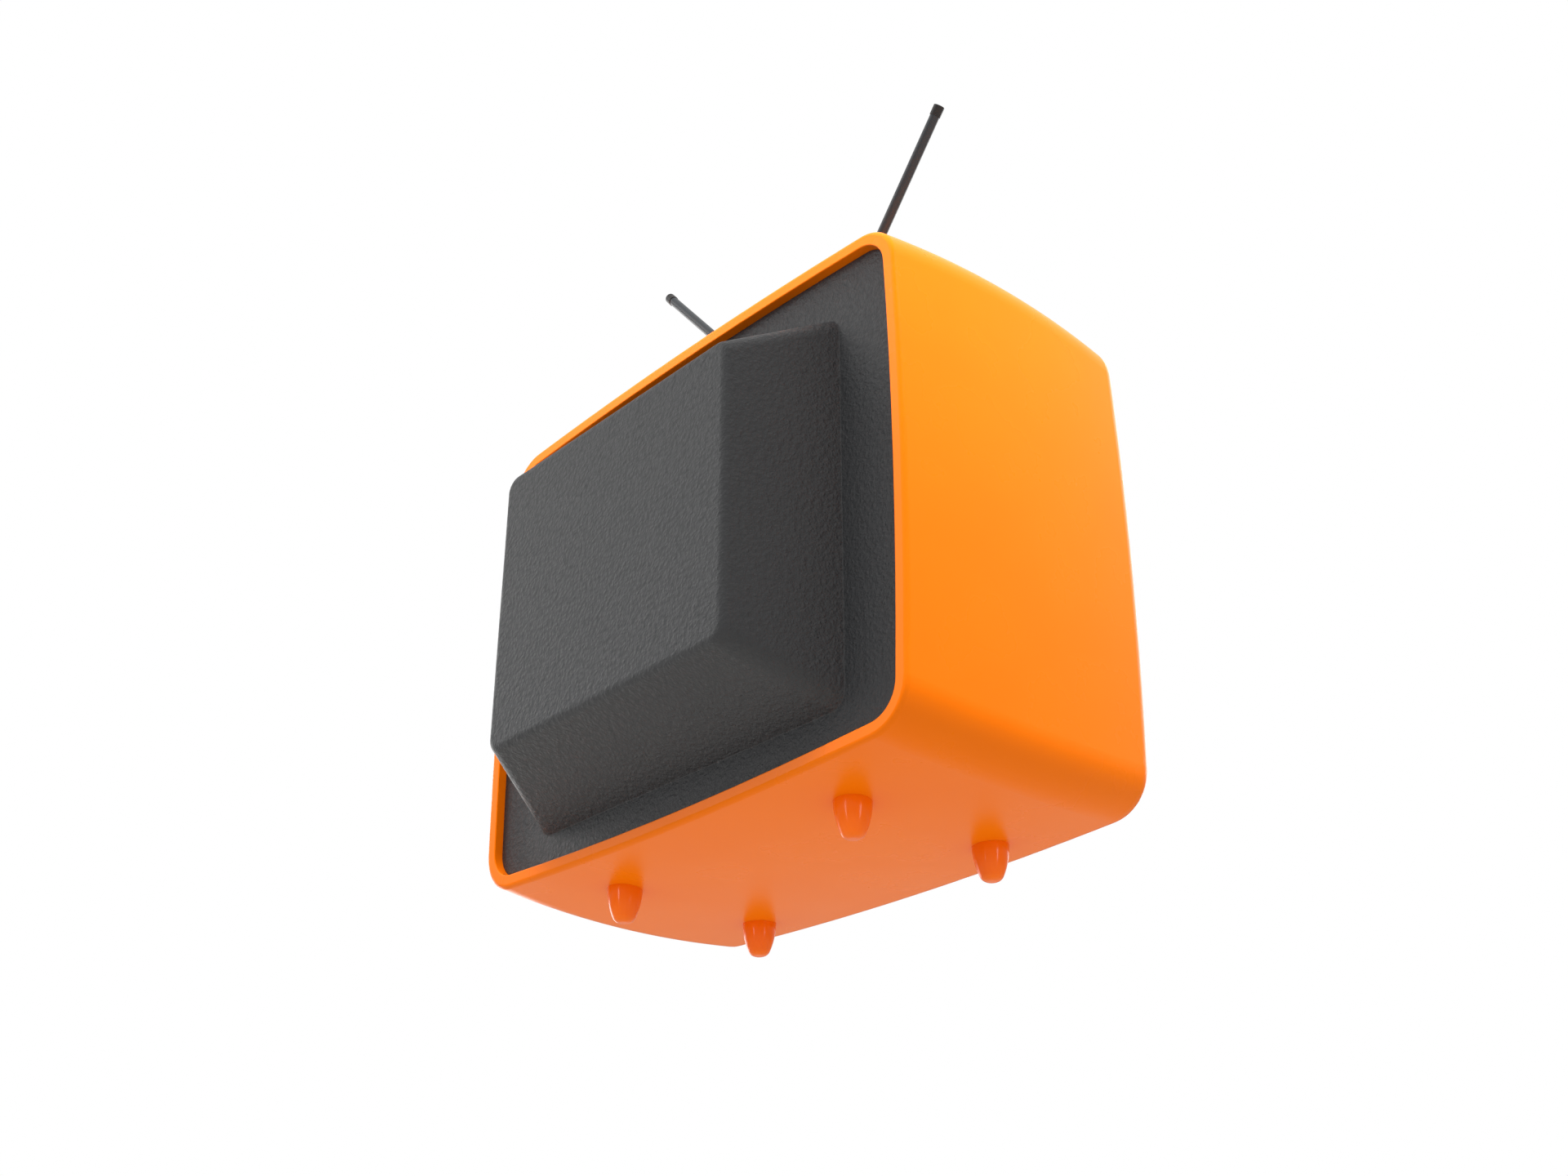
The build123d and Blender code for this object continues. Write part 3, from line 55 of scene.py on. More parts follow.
# %% Camera
shell_low, shell_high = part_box("cabinet_shell")
cabinet_middle = (shell_low + shell_high) / 2
camera_target = cabinet_middle + Vector((0.0124, 0.0, 0.0239))
camera_azimuth = radians(48.445)
camera_elevation = radians(-27.08)
camera_distance = 1.0015
backwards = Vector(
    (
        -sin(camera_azimuth) * cos(camera_elevation),
        cos(camera_azimuth) * cos(camera_elevation),
        sin(camera_elevation),
    )
)
camera = bpy.data.objects.new("camera", bpy.data.cameras.new("camera"))
camera.data.sensor_width = 36.0
camera.data.lens = 42.83
camera.location = camera_target + backwards * camera_distance
camera.rotation_euler = (-backwards).to_track_quat("-Z", "Y").to_euler()
bpy.context.scene.collection.objects.link(camera)
bpy.context.scene.camera = camera
print("camera at", [round(x, 3) for x in camera.location])

# %% [markdown]
# A pale floor lies well below the camera, so that it never hides the set's underside. One large
# soft light stands behind the set, and two more, over it and in front, keep its other sides
# readable. A world that is brighter above than below fills the shadows, and the camera sees plain
# white in its place.
#
# The other lamps do one job each. Two close to the top light the orange shell alone. They make it
# pass from yellow above to a deeper orange below, because its red is already full while its green
# still falls away. A card that shows only in reflections draws the bright line on the hump's edge.
# Two narrow upright strips light the glossy feet alone.

# %% Floor, world and lights
def hex_to_linear(colour):
    """An sRGB hex colour as the linear RGBA that shaders and lights use."""
    channels = [int(colour[i : i + 2], 16) / 255 for i in (1, 3, 5)]
    curve = [c / 12.92 if c <= 0.04045 else ((c + 0.055) / 1.055) ** 2.4 for c in channels]
    return (*curve, 1.0)


def add(tree, kind, inputs=None, **settings):
    """Adds a node. settings are its properties; inputs are values, or sockets to link from."""
    made = tree.nodes.new(kind)
    for name, value in settings.items():
        setattr(made, name, value)
    for name, value in (inputs or {}).items():
        if isinstance(value, bpy.types.NodeSocket):
            tree.links.new(value, made.inputs[name])
        else:
            made.inputs[name].default_value = value
    return made


def ramp(tree, value, start, stop, first=0.0, last=1.0):
    """Passes from first to last while value goes from start to stop."""
    ends = {"From Min": start, "From Max": stop, "To Min": first, "To Max": last}
    return add(tree, "ShaderNodeMapRange", {"Value": value, **ends}).outputs[0]


world = bpy.data.worlds.new("studio")
world.use_nodes = True
sky = world.node_tree
sky.nodes.clear()
fill_colour = hex_to_linear("#fffefc")
low_strength, high_strength = 0.36, 0.98
direction = add(sky, "ShaderNodeTexCoord").outputs["Generated"]
height = add(sky, "ShaderNodeSeparateXYZ", {"Vector": direction}).outputs["Z"]
share_high = ramp(sky, height, 0.0, 0.45)
below = add(sky, "ShaderNodeBackground", {"Color": fill_colour, "Strength": low_strength})
above = add(sky, "ShaderNodeBackground", {"Color": fill_colour, "Strength": high_strength})
fill = add(
    sky, "ShaderNodeMixShader", {0: share_high, 1: below.outputs[0], 2: above.outputs[0]}
)
backdrop = add(sky, "ShaderNodeBackground", {"Color": hex_to_linear("#ffffff"), "Strength": 1.0})
camera_ray = add(sky, "ShaderNodeLightPath").outputs["Is Camera Ray"]
seen = add(
    sky, "ShaderNodeMixShader", {0: camera_ray, 1: fill.outputs[0], 2: backdrop.outputs[0]}
)
add(sky, "ShaderNodeOutputWorld", {"Surface": seen.outputs[0]})
bpy.context.scene.world = world
bpy.context.scene.view_settings.view_transform = "Standard"


def soft_light(name, place, aim, size, watts, colour="#ffffff"):
    """A square area light at place, turned to aim, and left out of reflections."""
    lamp = bpy.data.lights.new(name, "AREA")
    lamp.size = size
    lamp.energy = watts
    lamp.color = hex_to_linear(colour)[:3]
    holder = bpy.data.objects.new(name, lamp)
    holder.location = place
    holder.rotation_euler = (Vector(aim) - Vector(place)).to_track_quat("-Z", "Y").to_euler()
    holder.visible_glossy = False
    bpy.context.scene.collection.objects.link(holder)
    return holder


lamps = {
    name: soft_light(name, place, cabinet_middle, size, watts, colour)
    for name, place, size, watts, colour in (
        ("rear_softbox", (1.15, 1.3, 1.05), 1.0, 5.4, "#ffffff"),
        ("top_glow", (-0.5, 0.02, 0.58), 0.3, 4.2, "#ffffff"),
        ("rim_glow", (0.0, 0.35, 0.62), 0.35, 4.4, "#fff0c0"),
        ("overhead", (0.0, 0.0, 1.3), 0.9, 5.0, "#ffffff"),
        ("front_fill", (0.1, -1.5, 0.85), 1.0, 7.0, "#ffffff"),
        ("edge_card", (1.7, -0.2, 0.35), 1.3, 14.0, "#ffffff"),
    )
}
for name in ("rear_softbox", "front_fill", "edge_card"):
    lamps[name].visible_glossy = True

# These two lamps light the orange shell alone.
shell_only = bpy.data.collections.new("shell_only")
shell_only.objects.link(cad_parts["cabinet_shell"])
for name in ("top_glow", "rim_glow"):
    lamps[name].light_linking.receiver_collection = shell_only

# A panel that only shines in reflections, as a white card does, draws the bright line on edges.
lamps["edge_card"].visible_diffuse = False

# Two narrow upright lights give the glossy feet a streak on each side of their middle.
feet_only = bpy.data.collections.new("feet_only")
for corner in ("front_left", "front_right", "rear_left", "rear_right"):
    feet_only.objects.link(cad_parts["foot_" + corner])
feet_middle = Vector((0, 0, 0.01))
strip_width, strip_height, strip_watts = 0.1, 0.9, 2.6
for name, turn in (("left_strip", 42), ("right_strip", -42)):
    angle = camera_azimuth + radians(turn)
    place = Vector((-sin(angle), cos(angle), 0.3))
    strip = soft_light(name, place, feet_middle, strip_width, strip_watts)
    strip.data.shape = "RECTANGLE"
    strip.data.size_y = strip_height
    strip.visible_glossy = True
    strip.light_linking.receiver_collection = feet_only

floor_mesh = bpy.data.meshes.new("floor")
floor_height, half_side = -0.95, 6.0
corners = ((-1, -1), (1, -1), (1, 1), (-1, 1))
floor_mesh.from_pydata(
    [(x * half_side, y * half_side, floor_height) for x, y in corners], [], [(0, 1, 2, 3)]
)
floor = bpy.data.objects.new("floor", floor_mesh)
bpy.context.scene.collection.objects.link(floor)
print("lights and floor are in place")

# %% [markdown]
# Every finish starts with the same few nodes: one Principled shader whose pattern reads Object
# coordinates. The parts sit at the origin with their place in their mesh, so those coordinates are
# real lengths, and a pattern's scale is one over the size of its cells. A moulded or painted
# surface is never quite even. So its colour drifts a little, its gloss varies over a few
# centimetres, and a fine bump carries the texture of the mould.

# %% A finish to start from
def cells_of(millimetres):
    """Scale of a noise or cell pattern whose cells are this wide."""
    return 1000.0 / millimetres


def noise(tree, place, millimetres, detail):
    """A noise pattern with blobs of this width. Returns its outputs."""
    inputs = {"Vector": place, "Scale": cells_of(millimetres), "Detail": detail}
    return add(tree, "ShaderNodeTexNoise", inputs).outputs


def finish(name, colour, roughness, second, **shader_values):
    """A material with a drifting colour. Returns its tree, shader and Object coordinates too."""
    material = bpy.data.materials.new(name)
    material.use_nodes = True
    tree = material.node_tree
    tree.nodes.clear()
    place = add(tree, "ShaderNodeTexCoord").outputs["Object"]
    drift = noise(tree, place, 45, 4.0)["Fac"]
    # A Mix node's inputs share their names between its types, so they go by number. 6 and 7 are
    # its colours.
    tint = add(
        tree,
        "ShaderNodeMix",
        {0: drift, 6: hex_to_linear(colour), 7: hex_to_linear(second)},
        data_type="RGBA",
    )
    gloss = ramp(tree, drift, 0.0, 1.0, roughness * 0.86, roughness * 1.14)
    shader = add(
        tree,
        "ShaderNodeBsdfPrincipled",
        {"Base Color": tint.outputs[2], "Roughness": gloss, **shader_values},
    )
    add(tree, "ShaderNodeOutputMaterial", {"Surface": shader.outputs[0]})
    return material, tree, shader, place


def bump(tree, shader, height, millimetres, strength=1.0):
    """Raises the surface by up to this many millimetres where height is 1."""
    made = add(
        tree,
        "ShaderNodeBump",
        {"Height": height, "Strength": strength, "Distance": millimetres / 1000},
    )
    tree.links.new(made.outputs[0], shader.inputs["Normal"])


pale, _, _, _ = finish("matt_studio_paint", "#e9e7e3", 0.8, "#e4e2de")
floor_mesh.materials.append(pale)

# %% [markdown]
# **Orange ABS.** The cabinet and feet are injection moulded in coloured ABS. A polished mould gives
# a satin gloss with a very slight ripple, called orange peel, where the plastic shrank in cooling.
# The eye reads it in the soft edge of a reflection, so the ripple is shallow and a few millimetres
# wide. Fine pores lie on top of it. The feet come from a shinier mould.

# %% Orange ABS
def orange_abs(name, colour, second, roughness, specular):
    material, tree, shader, place = finish(
        name, colour, roughness, second, IOR=1.5, **{"Specular IOR Level": specular}
    )
    peel = noise(tree, place, 6.0, 1.0)["Fac"]
    pores = noise(tree, place, 0.6, 2.0)["Fac"]
    both = add(tree, "ShaderNodeMath", {0: pores, 1: 0.1, 2: peel}, operation="MULTIPLY_ADD")
    bump(tree, shader, both.outputs[0], 0.012, 0.3)
    return material


shell_plastic = orange_abs("orange_moulded_abs", "#fb7a02", "#f87500", 0.28, 0.1)
foot_plastic = orange_abs("orange_polished_abs", "#fb7202", "#f66c00", 0.17, 0.25)
print("made", shell_plastic.name, "and", foot_plastic.name)

# %% [markdown]
# **Grained ABS.** The rear cover is moulded in a textured mould, etched like leather, which hides
# sink marks and fingerprints. A cell pattern makes the pebbles, finer noise breaks up the creases
# between them, and coarser noise bends the cells so that they don't look cut out. The tops of the
# pebbles are rubbed a little smoother than the creases. The cover's pebbles are 2.2 mm wide, and
# the bezel's less than half of that.

# %% Grained ABS
def grained_abs(name, colour, second, pebble, depth):
    material, tree, shader, place = finish(name, colour, 0.5, second, IOR=1.5)
    bend = noise(tree, place, pebble * 1.6, 3.0)["Color"]
    shift = add(
        tree,
        "ShaderNodeVectorMath",
        {0: bend, 1: (pebble / 1000,) * 3, 2: place},
        operation="MULTIPLY_ADD",
    )
    pebbles = add(
        tree,
        "ShaderNodeTexVoronoi",
        {"Vector": shift.outputs[0], "Scale": cells_of(pebble)},
        feature="SMOOTH_F1",
    ).outputs["Distance"]
    creases = noise(tree, place, pebble * 0.45, 3.0)["Fac"]
    height = add(
        tree,
        "ShaderNodeMath",
        {0: pebbles, 1: -1.0, 2: creases},
        operation="MULTIPLY_ADD",
    )
    bump(tree, shader, height.outputs[0], depth, 0.8)
    rubbed = ramp(tree, pebbles, 0.0, 0.8, 0.42, 0.6)
    tree.links.new(rubbed, shader.inputs["Roughness"])
    return material


cover_plastic = grained_abs("grey_leather_grained_abs", "#2e3033", "#333437", 2.2, 0.6)
bezel_plastic = grained_abs("black_fine_grained_abs", "#171718", "#1c1c1d", 0.9, 0.06)
print("made", cover_plastic.name, "and", bezel_plastic.name)

# %% [markdown]
# **Smooth plastics and rubbers.** Knobs are glossy phenolic, sockets are matt nylon or filled with
# epoxy, and gaskets and leads are rubber or silicone. The outer tubes of the rods are lacquered, so
# what the eye sees is a coat of dark paint. They differ in colour, gloss and the size of their
# ripple, so one function makes them all.

# %% Smooth plastics
def smooth_plastic(name, colour, second, roughness, ripple=2.0, depth=0.01):
    material, tree, shader, place = finish(name, colour, roughness, second, IOR=1.5)
    bump(tree, shader, noise(tree, place, ripple, 4.0)["Fac"], depth, 0.6)
    return material


knob_plastic = smooth_plastic("black_phenolic", "#101011", "#151516", 0.22)
tip_plastic = smooth_plastic("black_nylon", "#1d1d1d", "#242424", 0.42)
button_plastic = smooth_plastic("orange_moulded_button", "#f87500", "#f06c00", 0.3)
rubber = smooth_plastic("black_rubber", "#161616", "#1f1f1e", 0.75, 0.8, 0.03)
nylon = smooth_plastic("natural_nylon", "#d9d4c4", "#cfc8b4", 0.45)
epoxy = smooth_plastic("black_potting_epoxy", "#1a1a1b", "#262627", 0.55, 0.7, 0.03)
lead_plastic = smooth_plastic("red_silicone_lead", "#8d1f18", "#7c1b15", 0.5, 1.5, 0.02)
sleeve_plastic = smooth_plastic("blue_capacitor_sleeve", "#1d3554", "#213c60", 0.25)
lacquer = smooth_plastic("brown_component_lacquer", "#8a5a2e", "#7a4a26", 0.3)
rod_lacquer = smooth_plastic("black_lacquered_steel", "#2f373e", "#343b41", 0.38, 6.0, 0.002)
tape = smooth_plastic("yellow_winding_tape", "#c9a032", "#b98f28", 0.4, 1.2, 0.03)
print("made the smooth plastics, rubbers, lacquers and tape")

# %% [markdown]
# **Metals.** Rolled and turned metals are told apart by the direction of their scratches.
# Stretching a noise pattern along one axis draws scratches that run that way, and a plated or cast
# surface gets round cells instead. Inside the rods, the sliding sections are bright chrome plated
# steel.

# %% Metals
def metal(name, colour, second, roughness, grain, depth=0.006):
    """grain is the size of the pattern along X, Y and Z in millimetres."""
    material, tree, shader, place = finish(name, colour, roughness, second, Metallic=1.0)
    cells = {"Vector": place, "Scale": [cells_of(size) for size in grain]}
    stretched = add(tree, "ShaderNodeMapping", cells).outputs[0]
    blobs = {"Vector": stretched, "Scale": 1.0, "Detail": 5.0}
    scratches = add(tree, "ShaderNodeTexNoise", blobs).outputs["Fac"]
    wear = ramp(tree, scratches, 0.0, 1.0, roughness * 0.7, roughness * 1.3)
    tree.links.new(wear, shader.inputs["Roughness"])
    bump(tree, shader, scratches, depth, 0.7)
    return material


trim_metal = metal("brushed_aluminium", "#c3c4c8", "#b6b7bb", 0.3, (18, 0.3, 0.22))
sink_metal = metal("extruded_aluminium", "#b4b5b7", "#a7a8aa", 0.42, (30, 0.5, 0.4))
zinc_steel = metal("zinc_plated_steel", "#b9b8b0", "#a5a59d", 0.32, (1.2, 1.2, 1.2))
spring_steel = metal("blued_spring_steel", "#6f7178", "#62646c", 0.35, (6, 0.4, 0.4))
tinned_steel = metal("tinned_sheet_steel", "#bcbcb6", "#acaca6", 0.34, (2.5, 8, 2.5))
core_steel = metal("varnished_laminations", "#595652", "#4a4743", 0.45, (25, 0.5, 25), 0.05)
chrome = metal("chrome_plated_steel", "#d5d6d8", "#caccce", 0.12, (1.5, 1.5, 1.5), 0.002)
copper = metal("enamelled_copper_wire", "#a85a24", "#8f4517", 0.3, (0.7, 0.7, 0.7), 0.15)
print("made the metals")

# %% [markdown]
# **Glass of the picture tube.** The faceplate is thick grey-tinted glass over a phosphor layer, and
# unlit it looks dark grey-green with a clear mirror-like surface. Behind the steel band the funnel
# is painted with graphite, which is matt black, and only the thin neck is bare glass. All this is
# one part, so the material changes along Y: glass in front, graphite on the funnel, glass on the
# neck.

# %% Tube glass, ferrite, boards and paper
graphite_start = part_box("tube_rim_band")[1].y + 0.006
graphite_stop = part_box("yoke_core")[0].y


def between(tree, value, start, stop, soft):
    """1 where value lies between start and stop, 0 outside, with a soft edge."""
    rise = ramp(tree, value, start - soft, start + soft)
    fall = ramp(tree, value, stop - soft, stop + soft, 1.0, 0.0)
    return add(tree, "ShaderNodeMath", {0: rise, 1: fall}, operation="MULTIPLY").outputs[0]


def tube_glass():
    material, tree, shader, place = finish(
        "grey_tinted_tube_glass", "#1f2624", 0.05, "#222a28", IOR=1.54, **{"Coat Weight": 0.4}
    )
    depth = add(tree, "ShaderNodeSeparateXYZ", {"Vector": place}).outputs["Y"]
    graphite = between(tree, depth, graphite_start, graphite_stop, 0.0006)
    fine = noise(tree, place, 2.0, 5.0)["Fac"]
    brushed = ramp(tree, fine, 0.0, 1.0, 0.55, 0.85)
    # By number, 2 and 3 are the plain numbers that a Mix node mixes.
    rough = add(tree, "ShaderNodeMix", {0: graphite, 2: 0.05, 3: brushed}, data_type="FLOAT")
    tree.links.new(rough.outputs[0], shader.inputs["Roughness"])
    phosphor = add(
        tree,
        "ShaderNodeMix",
        {0: graphite, 6: hex_to_linear("#252d2a"), 7: hex_to_linear("#0f0f10")},
        data_type="RGBA",
    )
    tree.links.new(phosphor.outputs[2], shader.inputs["Base Color"])
    bump(tree, shader, fine, 0.002, 0.3)
    return material


tube_material = tube_glass()
ferrite = smooth_plastic("sintered_ferrite", "#2a2a2c", "#333335", 0.6, 0.8, 0.04)
board = smooth_plastic("phenolic_paper_board", "#7d5a31", "#6d4c28", 0.4, 1.0, 0.02)
paper = smooth_plastic("pressed_paper_cone", "#1e1d1c", "#2a2826", 0.9, 0.6, 0.08)
print("tube glass turns to graphite at Y", round(graphite_start, 4))

# %% [markdown]
# Each CAD part now gets its finish. A table of part names for each material reads like a parts
# list, and a final check makes sure that no part was forgotten.

# %% Give every part its finish
finish_of = {
    shell_plastic: ["cabinet_shell"],
    foot_plastic: ["foot_front_left", "foot_front_right", "foot_rear_left", "foot_rear_right"],
    cover_plastic: ["rear_cover", "antenna_base"],
    bezel_plastic: ["front_bezel"],
    trim_metal: ["trim_plate"],
    knob_plastic: [
        "channel_knob",
        "fine_tuning_ring",
        "uhf_knob",
        "volume_knob",
        "brightness_knob",
        "contrast_knob",
    ],
    button_plastic: ["power_button"],
    tube_material: ["picture_tube"],
    zinc_steel: [
        "tube_rim_band",
        "tube_screws",
        "bezel_screws",
        "foot_screws",
        "chassis_screws",
        "aerial_socket",
        "speaker_frame",
        "left_pivot_pin",
        "right_pivot_pin",
    ],
    spring_steel: ["cover_clips"],
    rubber: ["screen_gasket", "anode_cap"],
    chrome: [
        "electron_gun",
        "left_antenna_middle",
        "right_antenna_middle",
        "left_antenna_inner",
        "right_antenna_inner",
    ],
    rod_lacquer: ["left_antenna_tube", "right_antenna_tube", "left_turret", "right_turret"],
    tip_plastic: ["left_antenna_tip", "right_antenna_tip"],
    epoxy: ["mains_inlet", "earphone_jack", "power_transistors", "flyback_coil"],
    copper: ["yoke_coils"],
    ferrite: ["yoke_core", "flyback_core"],
    nylon: ["yoke_clamp", "tube_socket"],
    board: ["neck_board", "main_board", "control_board"],
    lead_plastic: ["anode_lead"],
    sleeve_plastic: ["electrolytic_capacitors"],
    lacquer: ["board_components"],
    sink_metal: ["heat_sink"],
    core_steel: ["transformer_core"],
    tape: ["transformer_winding"],
    tinned_steel: ["tuners"],
    paper: ["speaker_cone"],
}
finished = set()
for material, names in finish_of.items():
    for name in names:
        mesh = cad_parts[name].data
        mesh.materials.clear()
        mesh.materials.append(material)
        finished.add(name)
print("without a finish:", sorted(set(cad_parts) - finished))
assert finished == set(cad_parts)

# %% [markdown]
# **Details.** The parts above are finished as they stand, and a few thin things are still missing
# from the front. Each is a mesh of its own. It stands less than a third of a millimetre proud of
# the CAD surface under it, or lies down in a groove, and rides on the body that carries it. The
# places come from the boxes of the knobs, so a mark always stays round its own knob.

# %% Places of the dials, and inks
plate_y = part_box("trim_plate")[0].y
MM = 0.001


def dial_of(node):
    """Centre of a knob on the trim plate's face, its radius, and the depth of its front."""
    low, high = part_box(node)
    centre = Vector(((low.x + high.x) / 2, plate_y, (low.z + high.z) / 2))
    return centre, (high.x - low.x) / 2, low.y


dark_ink = smooth_plastic("black_screen_ink", "#121213", "#1b1b1c", 0.5, 0.5, 0.004)
white_paint = smooth_plastic("white_filled_paint", "#e8e6df", "#dedbd2", 0.45, 0.7, 0.01)
channel_centre = dial_of("channel_knob")[0]
print("plate at Y", round(plate_y, 5), "channel dial", [round(x, 4) for x in channel_centre])

# %% [markdown]
# Marks round a dial follow a rule, so Geometry Nodes make them: so many points along an arc, and a
# small bar on each, turned outwards. The tree is made once, and each dial gives it its own numbers.
# An input is set by its identifier, because that stays the same if the name changes.

# %% A tree that draws the marks of a dial
def dial_tree():
    """Angles are clockwise from the top, as someone facing the set sees them."""
    tree = bpy.data.node_groups.new("dial_marks", "GeometryNodeTree")
    tree.interface.new_socket("Geometry", in_out="OUTPUT", socket_type="NodeSocketGeometry")
    for name, kind in (
        ("Centre", "NodeSocketVector"),
        ("Count", "NodeSocketInt"),
        ("Radius", "NodeSocketFloat"),
        ("First angle", "NodeSocketFloat"),
        ("Step", "NodeSocketFloat"),
        ("Mark size", "NodeSocketVector"),
        ("Ink", "NodeSocketMaterial"),
    ):
        tree.interface.new_socket(name, in_out="INPUT", socket_type=kind)
    sizes = add(tree, "NodeGroupInput").outputs
    points = add(tree, "GeometryNodePoints", {"Count": sizes["Count"]})
    index = add(tree, "GeometryNodeInputIndex").outputs[0]
    angle = add(
        tree,
        "ShaderNodeMath",
        {0: index, 1: sizes["Step"], 2: sizes["First angle"]},
        operation="MULTIPLY_ADD",
    ).outputs[0]
    sine = add(tree, "ShaderNodeMath", {0: angle}, operation="SINE").outputs[0]
    cosine = add(tree, "ShaderNodeMath", {0: angle}, operation="COSINE").outputs[0]
    outward = add(tree, "ShaderNodeCombineXYZ", {"X": sine, "Z": cosine}).outputs[0]
    reach = add(
        tree, "ShaderNodeVectorMath", {0: outward, "Scale": sizes["Radius"]}, operation="SCALE"
    ).outputs[0]
    place = add(
        tree, "ShaderNodeVectorMath", {0: reach, 1: sizes["Centre"]}, operation="ADD"
    ).outputs[0]
    placed = add(
        tree, "GeometryNodeSetPosition", {"Geometry": points.outputs[0], "Position": place}
    )
    turn = add(tree, "ShaderNodeCombineXYZ", {"Y": angle}).outputs[0]
    bar = add(tree, "GeometryNodeMeshCube", {"Size": sizes["Mark size"]})
    marks = add(
        tree,
        "GeometryNodeInstanceOnPoints",
        {"Points": placed.outputs[0], "Instance": bar.outputs[0], "Rotation": turn},
    )
    real = add(tree, "GeometryNodeRealizeInstances", {"Geometry": marks.outputs[0]}).outputs[0]
    inked = add(tree, "GeometryNodeSetMaterial", {"Geometry": real, "Material": sizes["Ink"]})
    add(tree, "NodeGroupOutput", {0: inked.outputs[0]})
    return tree


marks_tree = dial_tree()
identifiers = {
    item.name: item.identifier for item in marks_tree.interface.items_tree if item.in_out == "INPUT"
}


def mesh_of(thing):
    """What an object looks like now, as a plain mesh."""
    now = bpy.context.evaluated_depsgraph_get()
    return bpy.data.meshes.new_from_object(thing.evaluated_get(now))


def dial_marks(**sizes):
    """The tree's result for these inputs, as a plain mesh."""
    holder = bpy.data.objects.new("holder", bpy.data.meshes.new("holder"))
    bpy.context.scene.collection.objects.link(holder)
    modifier = holder.modifiers.new("marks", "NODES")
    modifier.node_group = marks_tree
    for name, value in {**sizes, "Ink": dark_ink}.items():
        modifier[identifiers[name.replace("_", " ")]] = value
    result = mesh_of(holder)
    holder.modifiers.clear()
    bpy.data.objects.remove(holder)
    return result


print("inputs:", list(identifiers))

# %% [markdown]
# Numbers are text, turned to face the viewer and made into a mesh. The channel dial goes from 2 to
# 13, the band of the other dial from 14 to 80, and every number stands upright.

# %% Dial marks and numbers
def number_mesh(text, size, place):
    """Raised print of a number, centred at place and facing -Y."""
    curve = bpy.data.curves.new("number", "FONT")
    curve.body = text
    curve.size = size
    curve.extrude = 0.03 * MM
    curve.align_x = "CENTER"
    curve.align_y = "CENTER"
    writer = bpy.data.objects.new("writer", curve)
    bpy.context.scene.collection.objects.link(writer)
    result = mesh_of(writer)
    result.transform(Matrix.Translation(place) @ Matrix.Rotation(radians(90), 4, "X"))
    bpy.data.objects.remove(writer)
    return result


def joined(name, meshes, material, body):
    """One piece from several meshes, riding on a body."""
    whole = bmesh.new()
    for mesh in meshes:
        whole.from_mesh(mesh)
    piece_mesh = bpy.data.meshes.new(name)
    whole.to_mesh(piece_mesh)
    whole.free()
    piece_mesh.materials.clear()
    piece_mesh.materials.append(material)
    for face in piece_mesh.polygons:
        face.material_index = 0
    piece = bpy.data.objects.new(name, piece_mesh)
    bpy.context.scene.collection.objects.link(piece)
    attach(piece, body)
    return piece


def dial_print(name, node, numbers, first, step, marks, mark_length, gap, size):
    """Marks round a knob, with numbers further out where there are any.

    first and step are in degrees; mark_length, gap (from the knob to the marks) and size (of the
    numbers) are in millimetres.
    """
    centre, radius, _ = dial_of(node)
    middle = radius + gap * MM + mark_length * MM / 2
    meshes = [
        dial_marks(
            Centre=centre,
            Count=marks,
            Radius=middle,
            First_angle=radians(first),
            Step=radians(step),
            Mark_size=(0.35 * MM, 0.06 * MM, mark_length * MM),
        )
    ]
    far = radius + (gap + mark_length) * MM + 0.65 * size * MM
    for i, text in enumerate(numbers):
        angle = radians(first + step * i * (marks - 1) / max(1, len(numbers) - 1))
        offset = Vector((far * sin(angle), 0, far * cos(angle)))
        meshes.append(number_mesh(text, size * MM, centre + offset))
    piece = joined(name, meshes, dark_ink, "cabinet")
    print(name, "faces:", len(piece.data.polygons))


channels = [str(n) for n in range(2, 14)]
dial_print("channel_print", "fine_tuning_ring", channels, 0, 30, 12, 0.9, 0.5, 2.0)
bands = ["14", "20", "30", "40", "50", "60", "70", "80"]
dial_print("uhf_print", "uhf_knob", bands, -154, 11, 29, 0.9, 0.6, 2.2)
dial_print("volume_print", "volume_knob", [], -150, 30, 11, 1.2, 0.9, 0)
dial_print("brightness_print", "brightness_knob", [], -150, 30, 11, 0.9, 0.8, 0)
dial_print("contrast_print", "contrast_knob", [], -150, 30, 11, 0.9, 0.8, 0)

# %% [markdown]
# **Pointers.** Each knob has a groove cut in its face, and the groove is filled with white paint.
# The paint is a thin bar with round ends that lies on the floor of the groove, under the knob's
# face.

# %% Painted pointers
def rounded_bar(x, z_range, y_range, half_width, ends=12):
    """Bar along Z with round ends, between two depths."""
    low, high = (z + s * half_width for z, s in zip(z_range, (1, -1)))

    def round_end(z, way):
        """Half a circle about z. way is 1 for the upper end and -1 for the lower one."""
        turns = [pi * i / ends for i in range(ends + 1)]
        return [(x + way * half_width * cos(a), z + way * half_width * sin(a)) for a in turns]

    outline = round_end(high, 1) + round_end(low, -1)
    shape = bmesh.new()
    rings = [[shape.verts.new((px, y, pz)) for px, pz in outline] for y in y_range]
    shape.faces.new(rings[0])
    shape.faces.new(reversed(rings[1]))
    count = len(outline)
    for i in range(count):
        j = (i + 1) % count
        shape.faces.new((rings[0][j], rings[0][i], rings[1][i], rings[1][j]))
    bmesh.ops.recalc_face_normals(shape, faces=shape.faces)
    mesh = bpy.data.meshes.new("bar")
    shape.to_mesh(mesh)
    shape.free()
    return mesh


